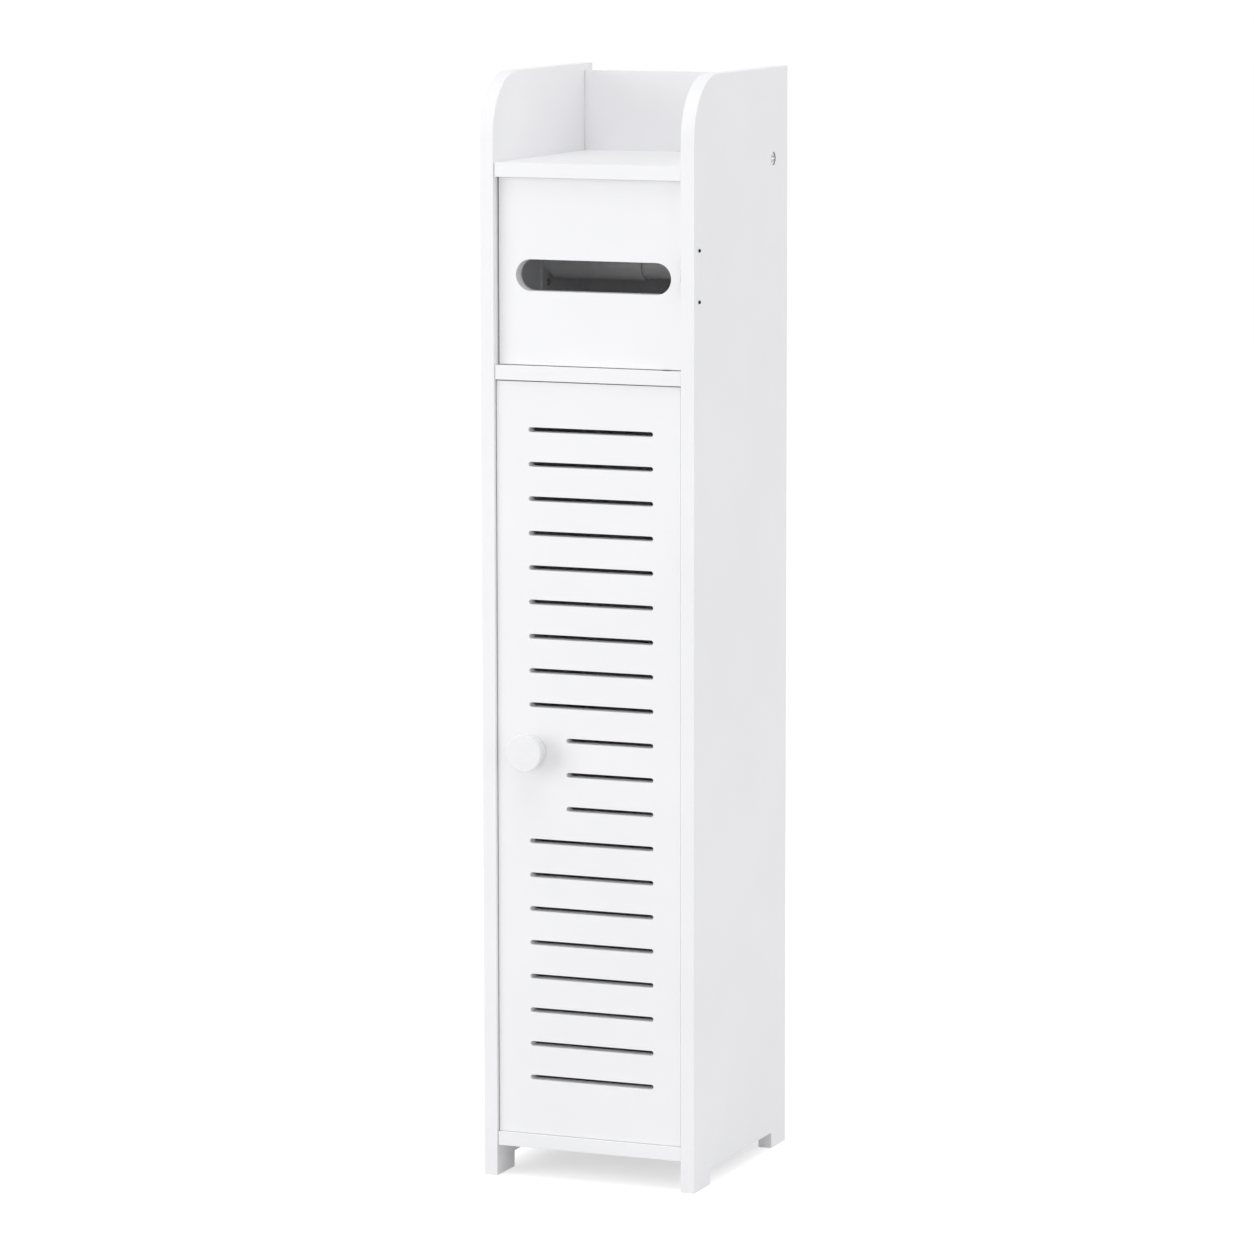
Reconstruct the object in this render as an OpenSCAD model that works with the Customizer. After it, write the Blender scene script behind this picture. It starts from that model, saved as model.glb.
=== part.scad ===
// Narrow free-standing bathroom cabinet: an open tray on top, a compartment
// with a spring roller behind a door with a long window, and a tall storage
// compartment behind a louvred door with a round knob.
// Millimetres, +Z up, the front faces -Y. The origin is on the floor, in the
// middle of the cabinet's footprint with the knob counted in.
// Inside the modules, x is counted from the middle of the cabinet, y from the
// front edges of the side panels towards the back, and z from the floor.

/* [Cabinet] */
// Height from the floor to the top of the side panels
cabinet_h = 780; // [770:1:820]
// Width over the side panels
cabinet_w = 160; // [160:1:200]
// Depth of the side panels, front to back
cabinet_d = 180; // [175:1:220]
// Thickness of the side panels, shelves and doors
board_t = 10; // [10:0.5:12]
// Radius of the rounded front top corner of a side panel
top_corner_r = 44; // [20:1:50]

/* [Feet] */
// Depth of the front foot of a side panel
foot_front = 31; // [25:1:50]
// Depth of the rear foot of a side panel
foot_rear = 28; // [25:1:50]
// Height of the cut-out between the feet
foot_gap_h = 11.5; // [8:0.5:16]
// Radius in the upper corners of the cut-out
foot_fillet_r = 0.5; // [0.5:0.5:6]

/* [Shelves] */
// Underside of the bottom shelf
bottom_shelf_z = 22; // [20:1:30]
// Underside of the shelf that divides the two compartments
divider_z = 567; // [560:1:575]
// Underside of the top shelf, the floor of the tray
top_shelf_z = 708; // [705:1:715]
// Underside of the loose shelf in the storage compartment
inner_shelf_z = 297; // [250:1:400]
// How far the shelf fronts stand back from the side panels' front edges
shelf_setback = 1; // [0:0.5:3]
// Front edge of the loose shelf, counted from the front
inner_shelf_front = 24; // [23:1:40]
// Play of the loose shelf at its sides and back
inner_shelf_play = 0.5; // [0.3:0.1:1]

/* [Back panel] */
// Thickness of the back panel
back_t = 5; // [3:0.5:6]
// How far the back panel's rear face stands in from the rear edges
back_inset = 9.5; // [5:0.5:15]
// How far the back panel ends below the top of the side panels
back_drop = 5; // [3:0.5:20]
// Depth of the grooves that hold the back panel
groove_depth = 4; // [2:0.5:5]
// Gap left in the grooves in front of the back panel
groove_play = 0.3; // [0.1:0.1:0.5]

/* [Doors] */
// Gap at the roll compartment door's free edge
roll_gap_free = 1.2; // [1.1:0.1:2]
// Gap at the storage door's free edge
storage_gap_free = 0.6; // [0.5:0.1:2]
// Gap at the storage door's hinge side
storage_gap_hinge = 1.35; // [1.2:0.05:2]
// How far the storage door's face stands back from the front
storage_recess = 3; // [2:0.5:5]
// Gap above the storage door
storage_gap_top = 0.8; // [0.5:0.1:2]
// Gap below the storage door
storage_gap_bottom = 0.2; // [0.2:0.1:2]
// How far the roll compartment's door stands back from the front
roll_recess = 7; // [6.8:0.1:9]
// Gap below the roll compartment's door
roll_gap_bottom = 0.5; // [0.4:0.1:2]
// Gap above the roll compartment's door
roll_gap_top = 0.4; // [0.3:0.1:2]
// Shift of the louvres towards the hinge side
louvre_shift = 1.4; // [0:0.1:3]

/* [Window] */
// Length of the window over its round ends
window_w = 116; // [80:1:118]
// Height of the window
window_h = 22; // [12:1:40]
// Height of the window's middle above the floor
window_z = 640; // [630:1:650]
// Shift of the window towards the hinge side
window_shift = 2; // [0:0.1:3]

/* [Louvres] */
// Number of louvre slots
slot_rows = 20; // [12:1:20]
// Distance from one slot to the next
slot_pitch = 24.2; // [20:0.1:24.4]
// Height of the middle of the top slot
top_slot_z = 532.7; // [520:0.1:540]
// Height of a slot
slot_h = 3.4; // [3:0.1:6]
// Length of a full slot over its round ends
slot_w = 93.5; // [60:0.5:100]
// Length of the short slots beside the knob
short_slot_w = 65.5; // [40:0.5:70]
// First short slot, counted down from 0 at the top
first_short_row = 9; // [7:1:9]
// Number of short slots
short_rows = 3; // [2:1:4]

/* [Knob] */
// Diameter of the knob's head
knob_d = 26.6; // [24:0.2:30]
// Diameter of the knob's foot on the door
knob_foot_d = 22; // [20:1:24]
// Diameter of the waist where it is drawn in most
knob_waist_d = 14; // [12:1:18]
// How far the knob stands out from the door
knob_out = 15; // [12:0.5:20]
// Thickness of the knob's head
knob_head_t = 3; // [2.5:0.5:5]
// Thickness of the knob's foot
knob_foot_t = 3; // [2.5:0.5:5]
// Distance of the knob from the middle of the cabinet
knob_x = 44; // [40:1:52]
// Height of the knob's middle
knob_z = 306.5; // [280:0.5:330]

/* [Roller] */
// Diameter of the roller
roller_d = 22; // [20:1:26]
// Diameter of the telescoping half
plunger_d = 19; // [16:0.5:19]
// Height of the roller's axis
roller_z = 642.5; // [640:0.5:645]
// Distance of the roller's axis behind the front
roller_y = 91; // [85:1:100]

/* [Hidden] */

$fn = 64;
over = 1;            // how far a cutting solid runs past a face
fit_gap = 0.05;      // radial clearance round a shank, dowel or running pin

board_white = "#f5f5f7";
plastic_white = "#fafafa";
steel_grey = "#b9bcc0";
dark_steel = "#3a3a3c";
beech = "#d8b98a";

// Places worked out from the driving dimensions
knob_ahead = knob_out - storage_recess;
front_y = -(cabinet_d - knob_ahead) / 2;
half_w = cabinet_w / 2;
inner_x = half_w - board_t;
back_face_y = cabinet_d - back_inset - back_t;
back_top_z = cabinet_h - back_drop;
shelf_levels = [bottom_shelf_z, divider_z, top_shelf_z];
shelf_axis_lift = board_t / 2;

// Fixings of the shelves, the same at both ends
dowel_y = 86;
dowel_r = 3;
dowel_in_panel = 7;
dowel_in_shelf = 17;
end_play = 0.5;      // a blind hole is this much deeper than what it takes
groove_side_play = 0.2;
cam_front_y = 44;
cam_rear_y = 131;
cam_inset = 22;      // middle of a cam nut from the shelf's end
cam_r = 5;
cam_t = 8;
cam_bolt_r = 2;
cam_bolt_neck_r = 1.5;
cam_bolt_head_r = 2.2;
cam_bolt_head_t = 2;
cam_bolt_in_panel = 7;
cam_slot_w = 1.2;
cam_slot_deep = 1.5;

// The plated screws that hold the back of the top shelf
tray_screw_y = 152;
tray_screw_z = top_shelf_z + 7.5;
tray_screw_len = 40;
tray_screw_r = 1.8;
tray_screw_head_r = 5;
tray_screw_head_t = 3.2;
tray_screw_rim_t = 0.5;

// Pan-head screws of the back panel
back_screw_x = 25;
back_screw_r = 1.5;
back_screw_len = 20;
back_screw_head_r = 3;
back_screw_head_t = 1.6;

// Supports of the loose shelf
support_front_y = 45;
support_rear_y = 145;
support_r = 2.5;
support_in_panel = 7;
support_tab = [8, 9, 2];
support_rib_t = 2;

// Roll door and its butt hinge
roll_door_z0 = divider_z + board_t + roll_gap_bottom;
roll_door_z1 = top_shelf_z - roll_gap_top;
hinge_z = (divider_z + board_t + top_shelf_z) / 2;
hinge_axis_x = inner_x - 0.3;
hinge_axis_y = roll_recess - 1.8;
knuckle_r = 1.5;
hinge_pin_r = 0.8;
knuckle_len = 9;
knuckle_gap = 0.15;
leaf_t = 0.8;
leaf_half_h = 23;
leaf_back_y = 13.5;
roll_door_edge_x = inner_x - 2.3;
hinge_screw_y = 9;
hinge_screw_half_span = 17.7;
hinge_screw_r = 1.2;
hinge_screw_head_r = 1.9;
hinge_screw_in_door = 14;
screw_tip_out = 1.2;
screw_tip_cone = 0.4;
hinge_slot_y0 = 2.5;
hinge_slot_y1 = 12.5;
hinge_slot_half_h = 14;
strip_t = board_t - 2;
strip_play = 0.2;    // hair line left at the strip's rear edge

// Storage door and its pivots
storage_door_z0 = bottom_shelf_z + board_t + storage_gap_bottom;
storage_door_z1 = divider_z - storage_gap_top;
storage_door_free_x = -inner_x + storage_gap_free;
storage_door_edge_x = inner_x - storage_gap_hinge;
pivot_from_edge = 12;
pivot_x = storage_door_edge_x - pivot_from_edge;
pivot_y = storage_recess + board_t / 2;
pivot_r = 2;
pivot_head_r = 3.5;
pivot_head_t = 2;
bush_r = 3.5;
bush_len = 8;
bush_end_t = 1;
pin_end_play = 0.1;  // the door hangs on the lower pin's tip
pivot_in_door = bush_len - bush_end_t - pin_end_play;

// Knob screw
knob_screw_r = 2;
knob_screw_head_r = 4;
knob_screw_head_t = 2.2;
knob_screw_in_knob = 8;
knob_edge_r = 1;
knob_waist_step = 0.4; // the waist starts this far inside the foot's rim

// Magnetic catches under the shelves, at the doors' free edges
catch_x = -45;
catch_w = 30;
catch_d = 13;
catch_h = 10;
catch_screw_x = 10;
catch_screw_r = 1.3;
catch_screw_up = 8;
catch_floor_t = 2.5; // the housing's thickness under a screw head
catch_head_r = 2.6;
magnet_w = 12;
magnet_d = 6;
magnet_h = 5;
magnet_out = 0.4;    // the magnet's pole faces stand proud of the housing
strike_t = 1;
strike_w = 24;
strike_h = 7.5;
strike_gap = 0.1;
strike_below = 6;    // middle of a strike plate below the shelf
strike_screw_r = 1.1;
strike_screw_head_r = 2;
strike_screw_in = 6;
strike_screw_x = 8.5;

// Roller sockets
socket_out = 8;
socket_boss_r = 8;
socket_plate_t = 2.5;
socket_plate_w = 20;
socket_plate_h = 38;
socket_bore_deep = 6.5;
socket_pin_r = 4;
socket_pin_len = 5;
socket_screw_z = 14;
socket_screw_r = 1.3;
socket_screw_in = 7;
socket_screw_head_r = 2.6;
socket_screw_head_t = 1.3;

// Roller
roller_play = 0.5;
roller_end_x = inner_x - socket_out - roller_play;
roller_cap_t = 3;
barrel_open_x = 8;
plunger_inner_x = -22;
plunger_bore_r = 6;
spring_wire_r = 0.6;
spring_mean_r = 7.5;
spring_turns = 12;
spring_seat_gap = 0.1;
rings_per_turn = 8;
wire_sides = 6;

// A box between its lowest and highest corners
module block(low, high) {
    translate(low) cube(high - low);
}

// Round bars along X, Y and Z, from one coordinate to another
module bar_x(x0, x1, y, z, r) {
    translate([x0, y, z]) rotate([0, 90, 0]) cylinder(h = x1 - x0, r = r);
}
module bar_y(y0, y1, x, z, r) {
    translate([x, y0, z]) rotate([-90, 0, 0]) cylinder(h = y1 - y0, r = r);
}
module bar_z(z0, z1, x, y, r) {
    translate([x, y, z0]) cylinder(h = z1 - z0, r = r);
}

// Moves what is drawn from the front edges' y to the origin's
module in_place() {
    translate([0, front_y, 0]) children();
}

module both_sides() {
    children();
    mirror([1, 0, 0]) children();
}

// ---- side panels ----

module foot_gap_outline() {
    gap_d = cabinet_d - foot_front - foot_rear;
    r = foot_fillet_r;
    translate([foot_front, -over]) square([gap_d, foot_gap_h - r + over]);
    translate([foot_front + r, -over]) square([gap_d - 2 * r, foot_gap_h + over]);
    for (y = [foot_front + r, foot_front + gap_d - r])
        translate([y, foot_gap_h - r]) circle(r);
}

module side_outline() {
    r = top_corner_r;
    difference() {
        union() {
            square([cabinet_d, cabinet_h - r]);
            translate([r, 0]) square([cabinet_d - r, cabinet_h]);
            translate([r, cabinet_h - r]) circle(r, $fn = 180);
        }
        foot_gap_outline();
    }
}

// Holes that take a shelf's dowel, cam bolts and screws, seen on the +X panel
module shelf_end_holes(z0, rear_cam) {
    z = z0 + shelf_axis_lift;
    bar_x(inner_x - over, inner_x + dowel_in_panel + end_play, dowel_y, z, dowel_r + fit_gap);
    for (y = rear_cam ? [cam_front_y, cam_rear_y] : [cam_front_y])
        bar_x(inner_x - over, inner_x + cam_bolt_in_panel + end_play, y, z, cam_bolt_r + fit_gap);
}

module side_panel() {
    difference() {
        translate([inner_x, 0, 0])
            rotate([90, 0, 90]) linear_extrude(board_t) side_outline();
        block([inner_x - over, back_face_y - groove_play, -over],
              [inner_x + groove_depth, back_face_y + back_t, back_top_z]);
        for (z0 = shelf_levels)
            shelf_end_holes(z0, z0 != top_shelf_z);
        tray_screw_hole();
        for (y = [support_front_y, support_rear_y])
            bar_x(inner_x - over, inner_x + support_in_panel + end_play,
                  y, inner_shelf_z - support_r, support_r + fit_gap);
        for (s = [-1, 1])
            bar_x(inner_x - over, inner_x + socket_screw_in + end_play,
                  roller_y, roller_z + s * socket_screw_z, socket_screw_r + fit_gap);
    }
}

module tray_screw_hole() {
    bar_x(inner_x - over, half_w + over, tray_screw_y, tray_screw_z, tray_screw_r + fit_gap);
    tray_screw_head(fit_gap, over);
}

// Countersunk head of a tray screw, grown by a clearance for its hole
module tray_screw_head(grow, past) {
    cone_h = tray_screw_head_t - tray_screw_rim_t;
    bar_x(half_w - tray_screw_rim_t, half_w + past, tray_screw_y, tray_screw_z,
          tray_screw_head_r + grow);
    translate([half_w - tray_screw_head_t, tray_screw_y, tray_screw_z])
        rotate([0, 90, 0])
            cylinder(h = cone_h, r1 = tray_screw_r + grow, r2 = tray_screw_head_r + grow);
}

module side_panel_left() {
    color(board_white) in_place() mirror([1, 0, 0]) side_panel();
}

module side_panel_right() {
    color(board_white) in_place() difference() {
        side_panel();
        hinge_slot(-over, over, 0);
        for (s = [-1, 1])
            bar_x(inner_x - over, half_w + over, hinge_screw_y,
                  hinge_z + s * hinge_screw_half_span, hinge_screw_r + fit_gap);
    }
}

// The slot for the hinge knuckles, from one depth in the panel to another,
// less a play at its rear edge
module hinge_slot(inside, outside, play) {
    block([inner_x + inside, hinge_slot_y0, hinge_z - hinge_slot_half_h],
          [half_w + outside, hinge_slot_y1 - play, hinge_z + hinge_slot_half_h]);
}

module hinge_recess_strip() {
    color(board_white) in_place() hinge_slot(board_t - strip_t, 0, strip_play);
}

// ---- fixed shelves ----

module cam_pocket(y, z0) {
    bar_z(z0 - over, z0 + cam_t, inner_x - cam_inset, y, cam_r + fit_gap);
    bar_x(inner_x - cam_inset, inner_x + over, y, z0 + shelf_axis_lift,
          cam_bolt_head_r + fit_gap);
}

module fixed_shelf(z0, rear_cam) {
    z = z0 + shelf_axis_lift;
    difference() {
        block([-inner_x, shelf_setback, z0], [inner_x, back_face_y, z0 + board_t]);
        both_sides() {
            bar_x(inner_x - dowel_in_shelf - end_play, inner_x + over, dowel_y, z,
                  dowel_r + fit_gap);
            cam_pocket(cam_front_y, z0);
            if (rear_cam) cam_pocket(cam_rear_y, z0);
            bar_y(back_face_y + back_t - back_screw_len - end_play, back_face_y + over,
                  back_screw_x, z, back_screw_r + fit_gap);
        }
    }
}

module catch_pilot_holes(z0) {
    y = catch_screw_y(z0 == top_shelf_z);
    for (s = [-1, 1])
        bar_z(z0 - over, z0 + catch_screw_up + end_play, catch_x + s * catch_screw_x, y,
              catch_screw_r + fit_gap);
}

module top_shelf() {
    color(board_white) in_place() difference() {
        fixed_shelf(top_shelf_z, false);
        both_sides()
            bar_x(half_w - tray_screw_len - end_play, inner_x + over, tray_screw_y,
                  tray_screw_z, tray_screw_r + fit_gap);
        catch_pilot_holes(top_shelf_z);
    }
}

module divider_shelf() {
    color(board_white) in_place() difference() {
        fixed_shelf(divider_z, true);
        catch_pilot_holes(divider_z);
        pivot_hole(divider_z + board_t, -1);
    }
}

module bottom_shelf() {
    color(board_white) in_place() difference() {
        fixed_shelf(bottom_shelf_z, true);
        pivot_hole(bottom_shelf_z, 1);
    }
}

// ---- back panel ----

module back_screws_axes() {
    for (z0 = shelf_levels)
        for (s = [-1, 1])
            translate([s * back_screw_x, 0, z0 + shelf_axis_lift]) children();
}

module back_panel() {
    half_back_w = inner_x + groove_depth - groove_side_play;
    color(board_white) in_place() difference() {
        block([-half_back_w, back_face_y, bottom_shelf_z],
              [half_back_w, back_face_y + back_t, back_top_z]);
        back_screws_axes()
            bar_y(back_face_y - over, back_face_y + back_t + over, 0, 0,
                  back_screw_r + fit_gap);
    }
}

module back_panel_screws() {
    rear = back_face_y + back_t;
    color(steel_grey) in_place() back_screws_axes() difference() {
        union() {
            bar_y(rear - back_screw_len, rear, 0, 0, back_screw_r);
            bar_y(rear, rear + back_screw_head_t, 0, 0, back_screw_head_r);
        }
        translate([0, rear + back_screw_head_t, 0]) rotate([-90, 0, 0])
            cross_recess(back_screw_head_r);
    }
}

// A cross recess sunk into a head whose top is at z = 0 and points to +Z
module cross_recess(head_r) {
    arm = 1.1 * head_r;
    deep = 0.35 * head_r;
    slot = 0.28 * head_r;
    for (turn = [0, 90])
        rotate([0, 0, turn])
            translate([-arm / 2, -slot / 2, -deep]) cube([arm, slot, deep + over]);
}

// ---- loose shelf ----

module inner_shelf() {
    half_shelf_w = inner_x - inner_shelf_play;
    color(board_white) in_place()
        block([-half_shelf_w, inner_shelf_front, inner_shelf_z],
              [half_shelf_w, back_face_y - inner_shelf_play, inner_shelf_z + board_t]);
}

module shelf_support(y) {
    tab = support_tab;
    bar_x(inner_x, inner_x + support_in_panel, y, inner_shelf_z - support_r, support_r);
    block([inner_x - tab[0], y - tab[1] / 2, inner_shelf_z - tab[2]],
          [inner_x, y + tab[1] / 2, inner_shelf_z]);
    block([inner_x - tab[0] / 2, y - support_rib_t / 2, inner_shelf_z - 2 * support_r],
          [inner_x, y + support_rib_t / 2, inner_shelf_z]);
}

module shelf_supports() {
    color(plastic_white) in_place() both_sides() {
        shelf_support(support_front_y);
        shelf_support(support_rear_y);
    }
}

// ---- dowels, cam bolts and cam nuts ----

module dowels() {
    color(beech) in_place() both_sides()
        for (z0 = shelf_levels)
            bar_x(inner_x - dowel_in_shelf, inner_x + dowel_in_panel, dowel_y,
                  z0 + shelf_axis_lift, dowel_r);
}

// [y, underside of the shelf] of every cam on one side
cam_places = [
    for (z0 = shelf_levels)
        for (y = z0 == top_shelf_z ? [cam_front_y] : [cam_front_y, cam_rear_y])
            [y, z0]
];

module cam_bolt(y, z0) {
    z = z0 + shelf_axis_lift;
    head_x = inner_x - cam_inset + cam_bolt_head_t / 2;
    bar_x(inner_x, inner_x + cam_bolt_in_panel, y, z, cam_bolt_r);
    bar_x(head_x - over, inner_x, y, z, cam_bolt_neck_r);
    bar_x(head_x - cam_bolt_head_t, head_x, y, z, cam_bolt_head_r - 2 * fit_gap);
}

module cam_nut(y, z0) {
    x = inner_x - cam_inset;
    difference() {
        bar_z(z0, z0 + cam_t, x, y, cam_r);
        bar_x(x - 2 * cam_bolt_head_t, inner_x, y, z0 + shelf_axis_lift, cam_bolt_head_r);
        block([x - cam_r + over, y - cam_slot_w / 2, z0 - over],
              [x + cam_r - over, y + cam_slot_w / 2, z0 + cam_slot_deep]);
        block([x - cam_slot_w / 2, y - cam_r + over, z0 - over],
              [x + cam_slot_w / 2, y + cam_r - over, z0 + cam_slot_deep]);
    }
}

module cam_bolts() {
    color(steel_grey) in_place() both_sides()
        for (p = cam_places) cam_bolt(p[0], p[1]);
}

module cam_nuts() {
    color(steel_grey) in_place() both_sides()
        for (p = cam_places) cam_nut(p[0], p[1]);
}

// ---- plated screws through the side panels into the top shelf ----

module top_shelf_screws() {
    color(steel_grey) in_place() both_sides() difference() {
        union() {
            tray_screw_head(0, 0);
            bar_x(half_w - tray_screw_len, half_w - tray_screw_head_t, tray_screw_y,
                  tray_screw_z, tray_screw_r);
        }
        translate([half_w, tray_screw_y, tray_screw_z]) rotate([0, 90, 0])
            cross_recess(tray_screw_head_r);
    }
}

// ---- roll door ----

module slot_cut(x0, x1, y0, y1, z, h) {
    r = h / 2;
    block([x0 + r, y0, z - r], [x1 - r, y1, z + r]);
    for (x = [x0 + r, x1 - r]) bar_y(y0, y1, x, z, r);
}

module roll_door() {
    back_y = roll_recess + board_t;
    color(board_white) in_place() difference() {
        block([-inner_x + roll_gap_free, roll_recess, roll_door_z0],
              [roll_door_edge_x, back_y, roll_door_z1]);
        slot_cut(window_shift - window_w / 2, window_shift + window_w / 2,
                 roll_recess - over, back_y + over, window_z, window_h);
        for (s = [-1, 1])
            bar_x(roll_door_edge_x - hinge_screw_in_door - end_play, roll_door_edge_x + over,
                  hinge_screw_y, hinge_z + s * hinge_screw_half_span,
                  hinge_screw_r + fit_gap);
        strike_pilot_holes(back_y, top_shelf_z - strike_below);
    }
}

// ---- butt hinge of the roll door ----

// Height of the ends of knuckle i, counted up from 0
function knuckle_z0(i) = hinge_z + (i - 1.5) * knuckle_len + knuckle_gap / 2;
function knuckle_z1(i) = knuckle_z0(i) + knuckle_len - knuckle_gap;

// Countersunk screw head in a plate t thick, wide at x = 0 and narrow at
// x = t, or at x = -t where side is -1
module sunk_head(t, side, narrow_r, wide_r) {
    rotate([0, 90 * side, 0]) cylinder(h = t, r1 = wide_r, r2 = narrow_r);
}

// One leaf: a plate from x0, countersunk on its open face, and the knuckles
// in a list. Side is 1 where the leaf's screws point to +X
module hinge_leaf(x0, knuckles, side) {
    open_x = side == 1 ? x0 : x0 + leaf_t;
    difference() {
        union() {
            block([x0, roll_recess, hinge_z - leaf_half_h],
                  [x0 + leaf_t, leaf_back_y, hinge_z + leaf_half_h]);
            for (i = knuckles) {
                block([x0, hinge_axis_y, knuckle_z0(i)], [x0 + leaf_t, leaf_back_y, knuckle_z1(i)]);
                bar_z(knuckle_z0(i), knuckle_z1(i), hinge_axis_x, hinge_axis_y, knuckle_r);
            }
        }
        for (i = knuckles)
            bar_z(knuckle_z0(i) - over, knuckle_z1(i) + over, hinge_axis_x, hinge_axis_y,
                  hinge_pin_r + fit_gap);
        for (s = [-1, 1])
            translate([open_x, hinge_screw_y, hinge_z + s * hinge_screw_half_span])
                sunk_head(leaf_t, side, hinge_screw_r + fit_gap, hinge_screw_head_r + fit_gap);
    }
}

module roll_hinge_panel_leaf() {
    color(steel_grey) in_place() hinge_leaf(inner_x - leaf_t, [0, 2], 1);
}

module roll_hinge_door_leaf() {
    color(steel_grey) in_place() hinge_leaf(roll_door_edge_x, [1], -1);
}

module roll_hinge_pin() {
    color(steel_grey) in_place()
        bar_z(knuckle_z0(0), knuckle_z1(2), hinge_axis_x, hinge_axis_y, hinge_pin_r);
}

// The screws' blunt ends come out through the side panel's outer face
module roll_hinge_panel_screws() {
    tip_x = half_w + screw_tip_out;
    color(dark_steel) in_place()
        for (s = [-1, 1])
            translate([0, hinge_screw_y, hinge_z + s * hinge_screw_half_span]) {
                translate([inner_x - leaf_t, 0, 0])
                    sunk_head(leaf_t, 1, hinge_screw_r, hinge_screw_head_r);
                bar_x(inner_x, tip_x - screw_tip_cone, 0, 0, hinge_screw_r);
                translate([tip_x - screw_tip_cone, 0, 0]) rotate([0, 90, 0])
                    cylinder(h = screw_tip_cone, r1 = hinge_screw_r, r2 = hinge_screw_r / 2);
            }
}

module roll_hinge_door_screws() {
    color(steel_grey) in_place()
        for (s = [-1, 1])
            translate([0, hinge_screw_y, hinge_z + s * hinge_screw_half_span]) {
                translate([roll_door_edge_x + leaf_t, 0, 0])
                    sunk_head(leaf_t, -1, hinge_screw_r, hinge_screw_head_r);
                bar_x(roll_door_edge_x - hinge_screw_in_door, roll_door_edge_x, 0, 0,
                      hinge_screw_r);
            }
}

// ---- storage door ----

module louvres() {
    right_x = louvre_shift + slot_w / 2;
    for (row = [0 : slot_rows - 1]) {
        is_short = row >= first_short_row && row < first_short_row + short_rows;
        length = is_short ? short_slot_w : slot_w;
        slot_cut(right_x - length, right_x, storage_recess - over,
                 storage_recess + board_t + over, top_slot_z - row * slot_pitch, slot_h);
    }
}

module storage_door() {
    back_y = storage_recess + board_t;
    color(board_white) in_place() difference() {
        block([storage_door_free_x, storage_recess, storage_door_z0],
              [storage_door_edge_x, back_y, storage_door_z1]);
        louvres();
        bar_y(storage_recess - over, back_y + over, -knob_x, knob_z, knob_screw_r + fit_gap);
        bar_z(storage_door_z0 - over, storage_door_z0 + bush_len, pivot_x, pivot_y,
              bush_r + fit_gap);
        bar_z(storage_door_z1 - bush_len, storage_door_z1 + over, pivot_x, pivot_y,
              bush_r + fit_gap);
        strike_pilot_holes(back_y, divider_z - strike_below);
    }
}

// Hole for a pivot pin and its sunk head: side is 1 where the head is at z0
// from below and -1 where it is at z0 from above
module pivot_hole(z0, side) {
    translate([pivot_x, pivot_y, z0]) mirror([0, 0, side == 1 ? 0 : 1])
        translate([0, 0, -over]) {
            cylinder(h = board_t + 2 * over, r = pivot_r + fit_gap);
            cylinder(h = pivot_head_t + over, r = pivot_head_r + fit_gap);
        }
}

// The pin, which crosses the shelf and the gap to the door
module pivot_pin(z0, side, gap) {
    translate([pivot_x, pivot_y, z0]) mirror([0, 0, side == 1 ? 0 : 1]) {
        cylinder(h = board_t + gap + pivot_in_door, r = pivot_r);
        cylinder(h = pivot_head_t, r = pivot_head_r);
    }
}

module pivot_pin_top() {
    color(steel_grey) in_place() pivot_pin(divider_z + board_t, -1, storage_gap_top);
}

module pivot_pin_bottom() {
    color(steel_grey) in_place() pivot_pin(bottom_shelf_z, 1, storage_gap_bottom);
}

// Bush let into the door's edge, with its open end at z0 pointing to side
module pivot_bush(z0, side) {
    translate([pivot_x, pivot_y, z0]) mirror([0, 0, side == 1 ? 0 : 1])
        translate([0, 0, -bush_len]) difference() {
            cylinder(h = bush_len, r = bush_r);
            translate([0, 0, bush_end_t]) cylinder(h = bush_len, r = pivot_r + fit_gap);
        }
}

module pivot_bush_top() {
    color(plastic_white) in_place() pivot_bush(storage_door_z1, 1);
}

module pivot_bush_bottom() {
    color(plastic_white) in_place() pivot_bush(storage_door_z0, -1);
}

// ---- knob ----

// Half the section of a disc of radius r and thickness t, with a rounded front rim
module disc_section(r, t) {
    e = knob_edge_r;
    square([r - e, t]);
    square([r, t - e]);
    translate([r - e, t - e]) circle(e);
}

// Half of the knob's section: radius, and distance from the door's face. One
// arc draws in the waist between foot and head
module knob_section() {
    waist_r = knob_waist_d / 2;
    waist_end_r = knob_foot_d / 2 - knob_waist_step;
    half_len = (knob_out - knob_head_t - knob_foot_t) / 2;
    drawn_in = waist_end_r - waist_r;
    arc_r = (half_len * half_len + drawn_in * drawn_in) / (2 * drawn_in);
    disc_section(knob_foot_d / 2, knob_foot_t);
    translate([0, knob_out - knob_head_t]) disc_section(knob_d / 2, knob_head_t);
    difference() {
        square([waist_end_r, knob_out - knob_edge_r]);
        translate([waist_r + arc_r, knob_foot_t + half_len]) circle(arc_r);
    }
}

module door_knob() {
    color(plastic_white) in_place()
        translate([-knob_x, storage_recess, knob_z]) rotate([90, 0, 0]) difference() {
            rotate_extrude() knob_section();
            translate([0, 0, -over])
                cylinder(h = knob_screw_in_knob + end_play + over, r = knob_screw_r + fit_gap);
        }
}

module knob_screw() {
    back_y = storage_recess + board_t;
    color(steel_grey) in_place() difference() {
        union() {
            bar_y(storage_recess - knob_screw_in_knob, back_y, -knob_x, knob_z, knob_screw_r);
            bar_y(back_y, back_y + knob_screw_head_t, -knob_x, knob_z, knob_screw_head_r);
        }
        translate([-knob_x, back_y + knob_screw_head_t, knob_z]) rotate([-90, 0, 0])
            cross_recess(knob_screw_head_r);
    }
}

// ---- magnetic catches and strike plates ----

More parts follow.
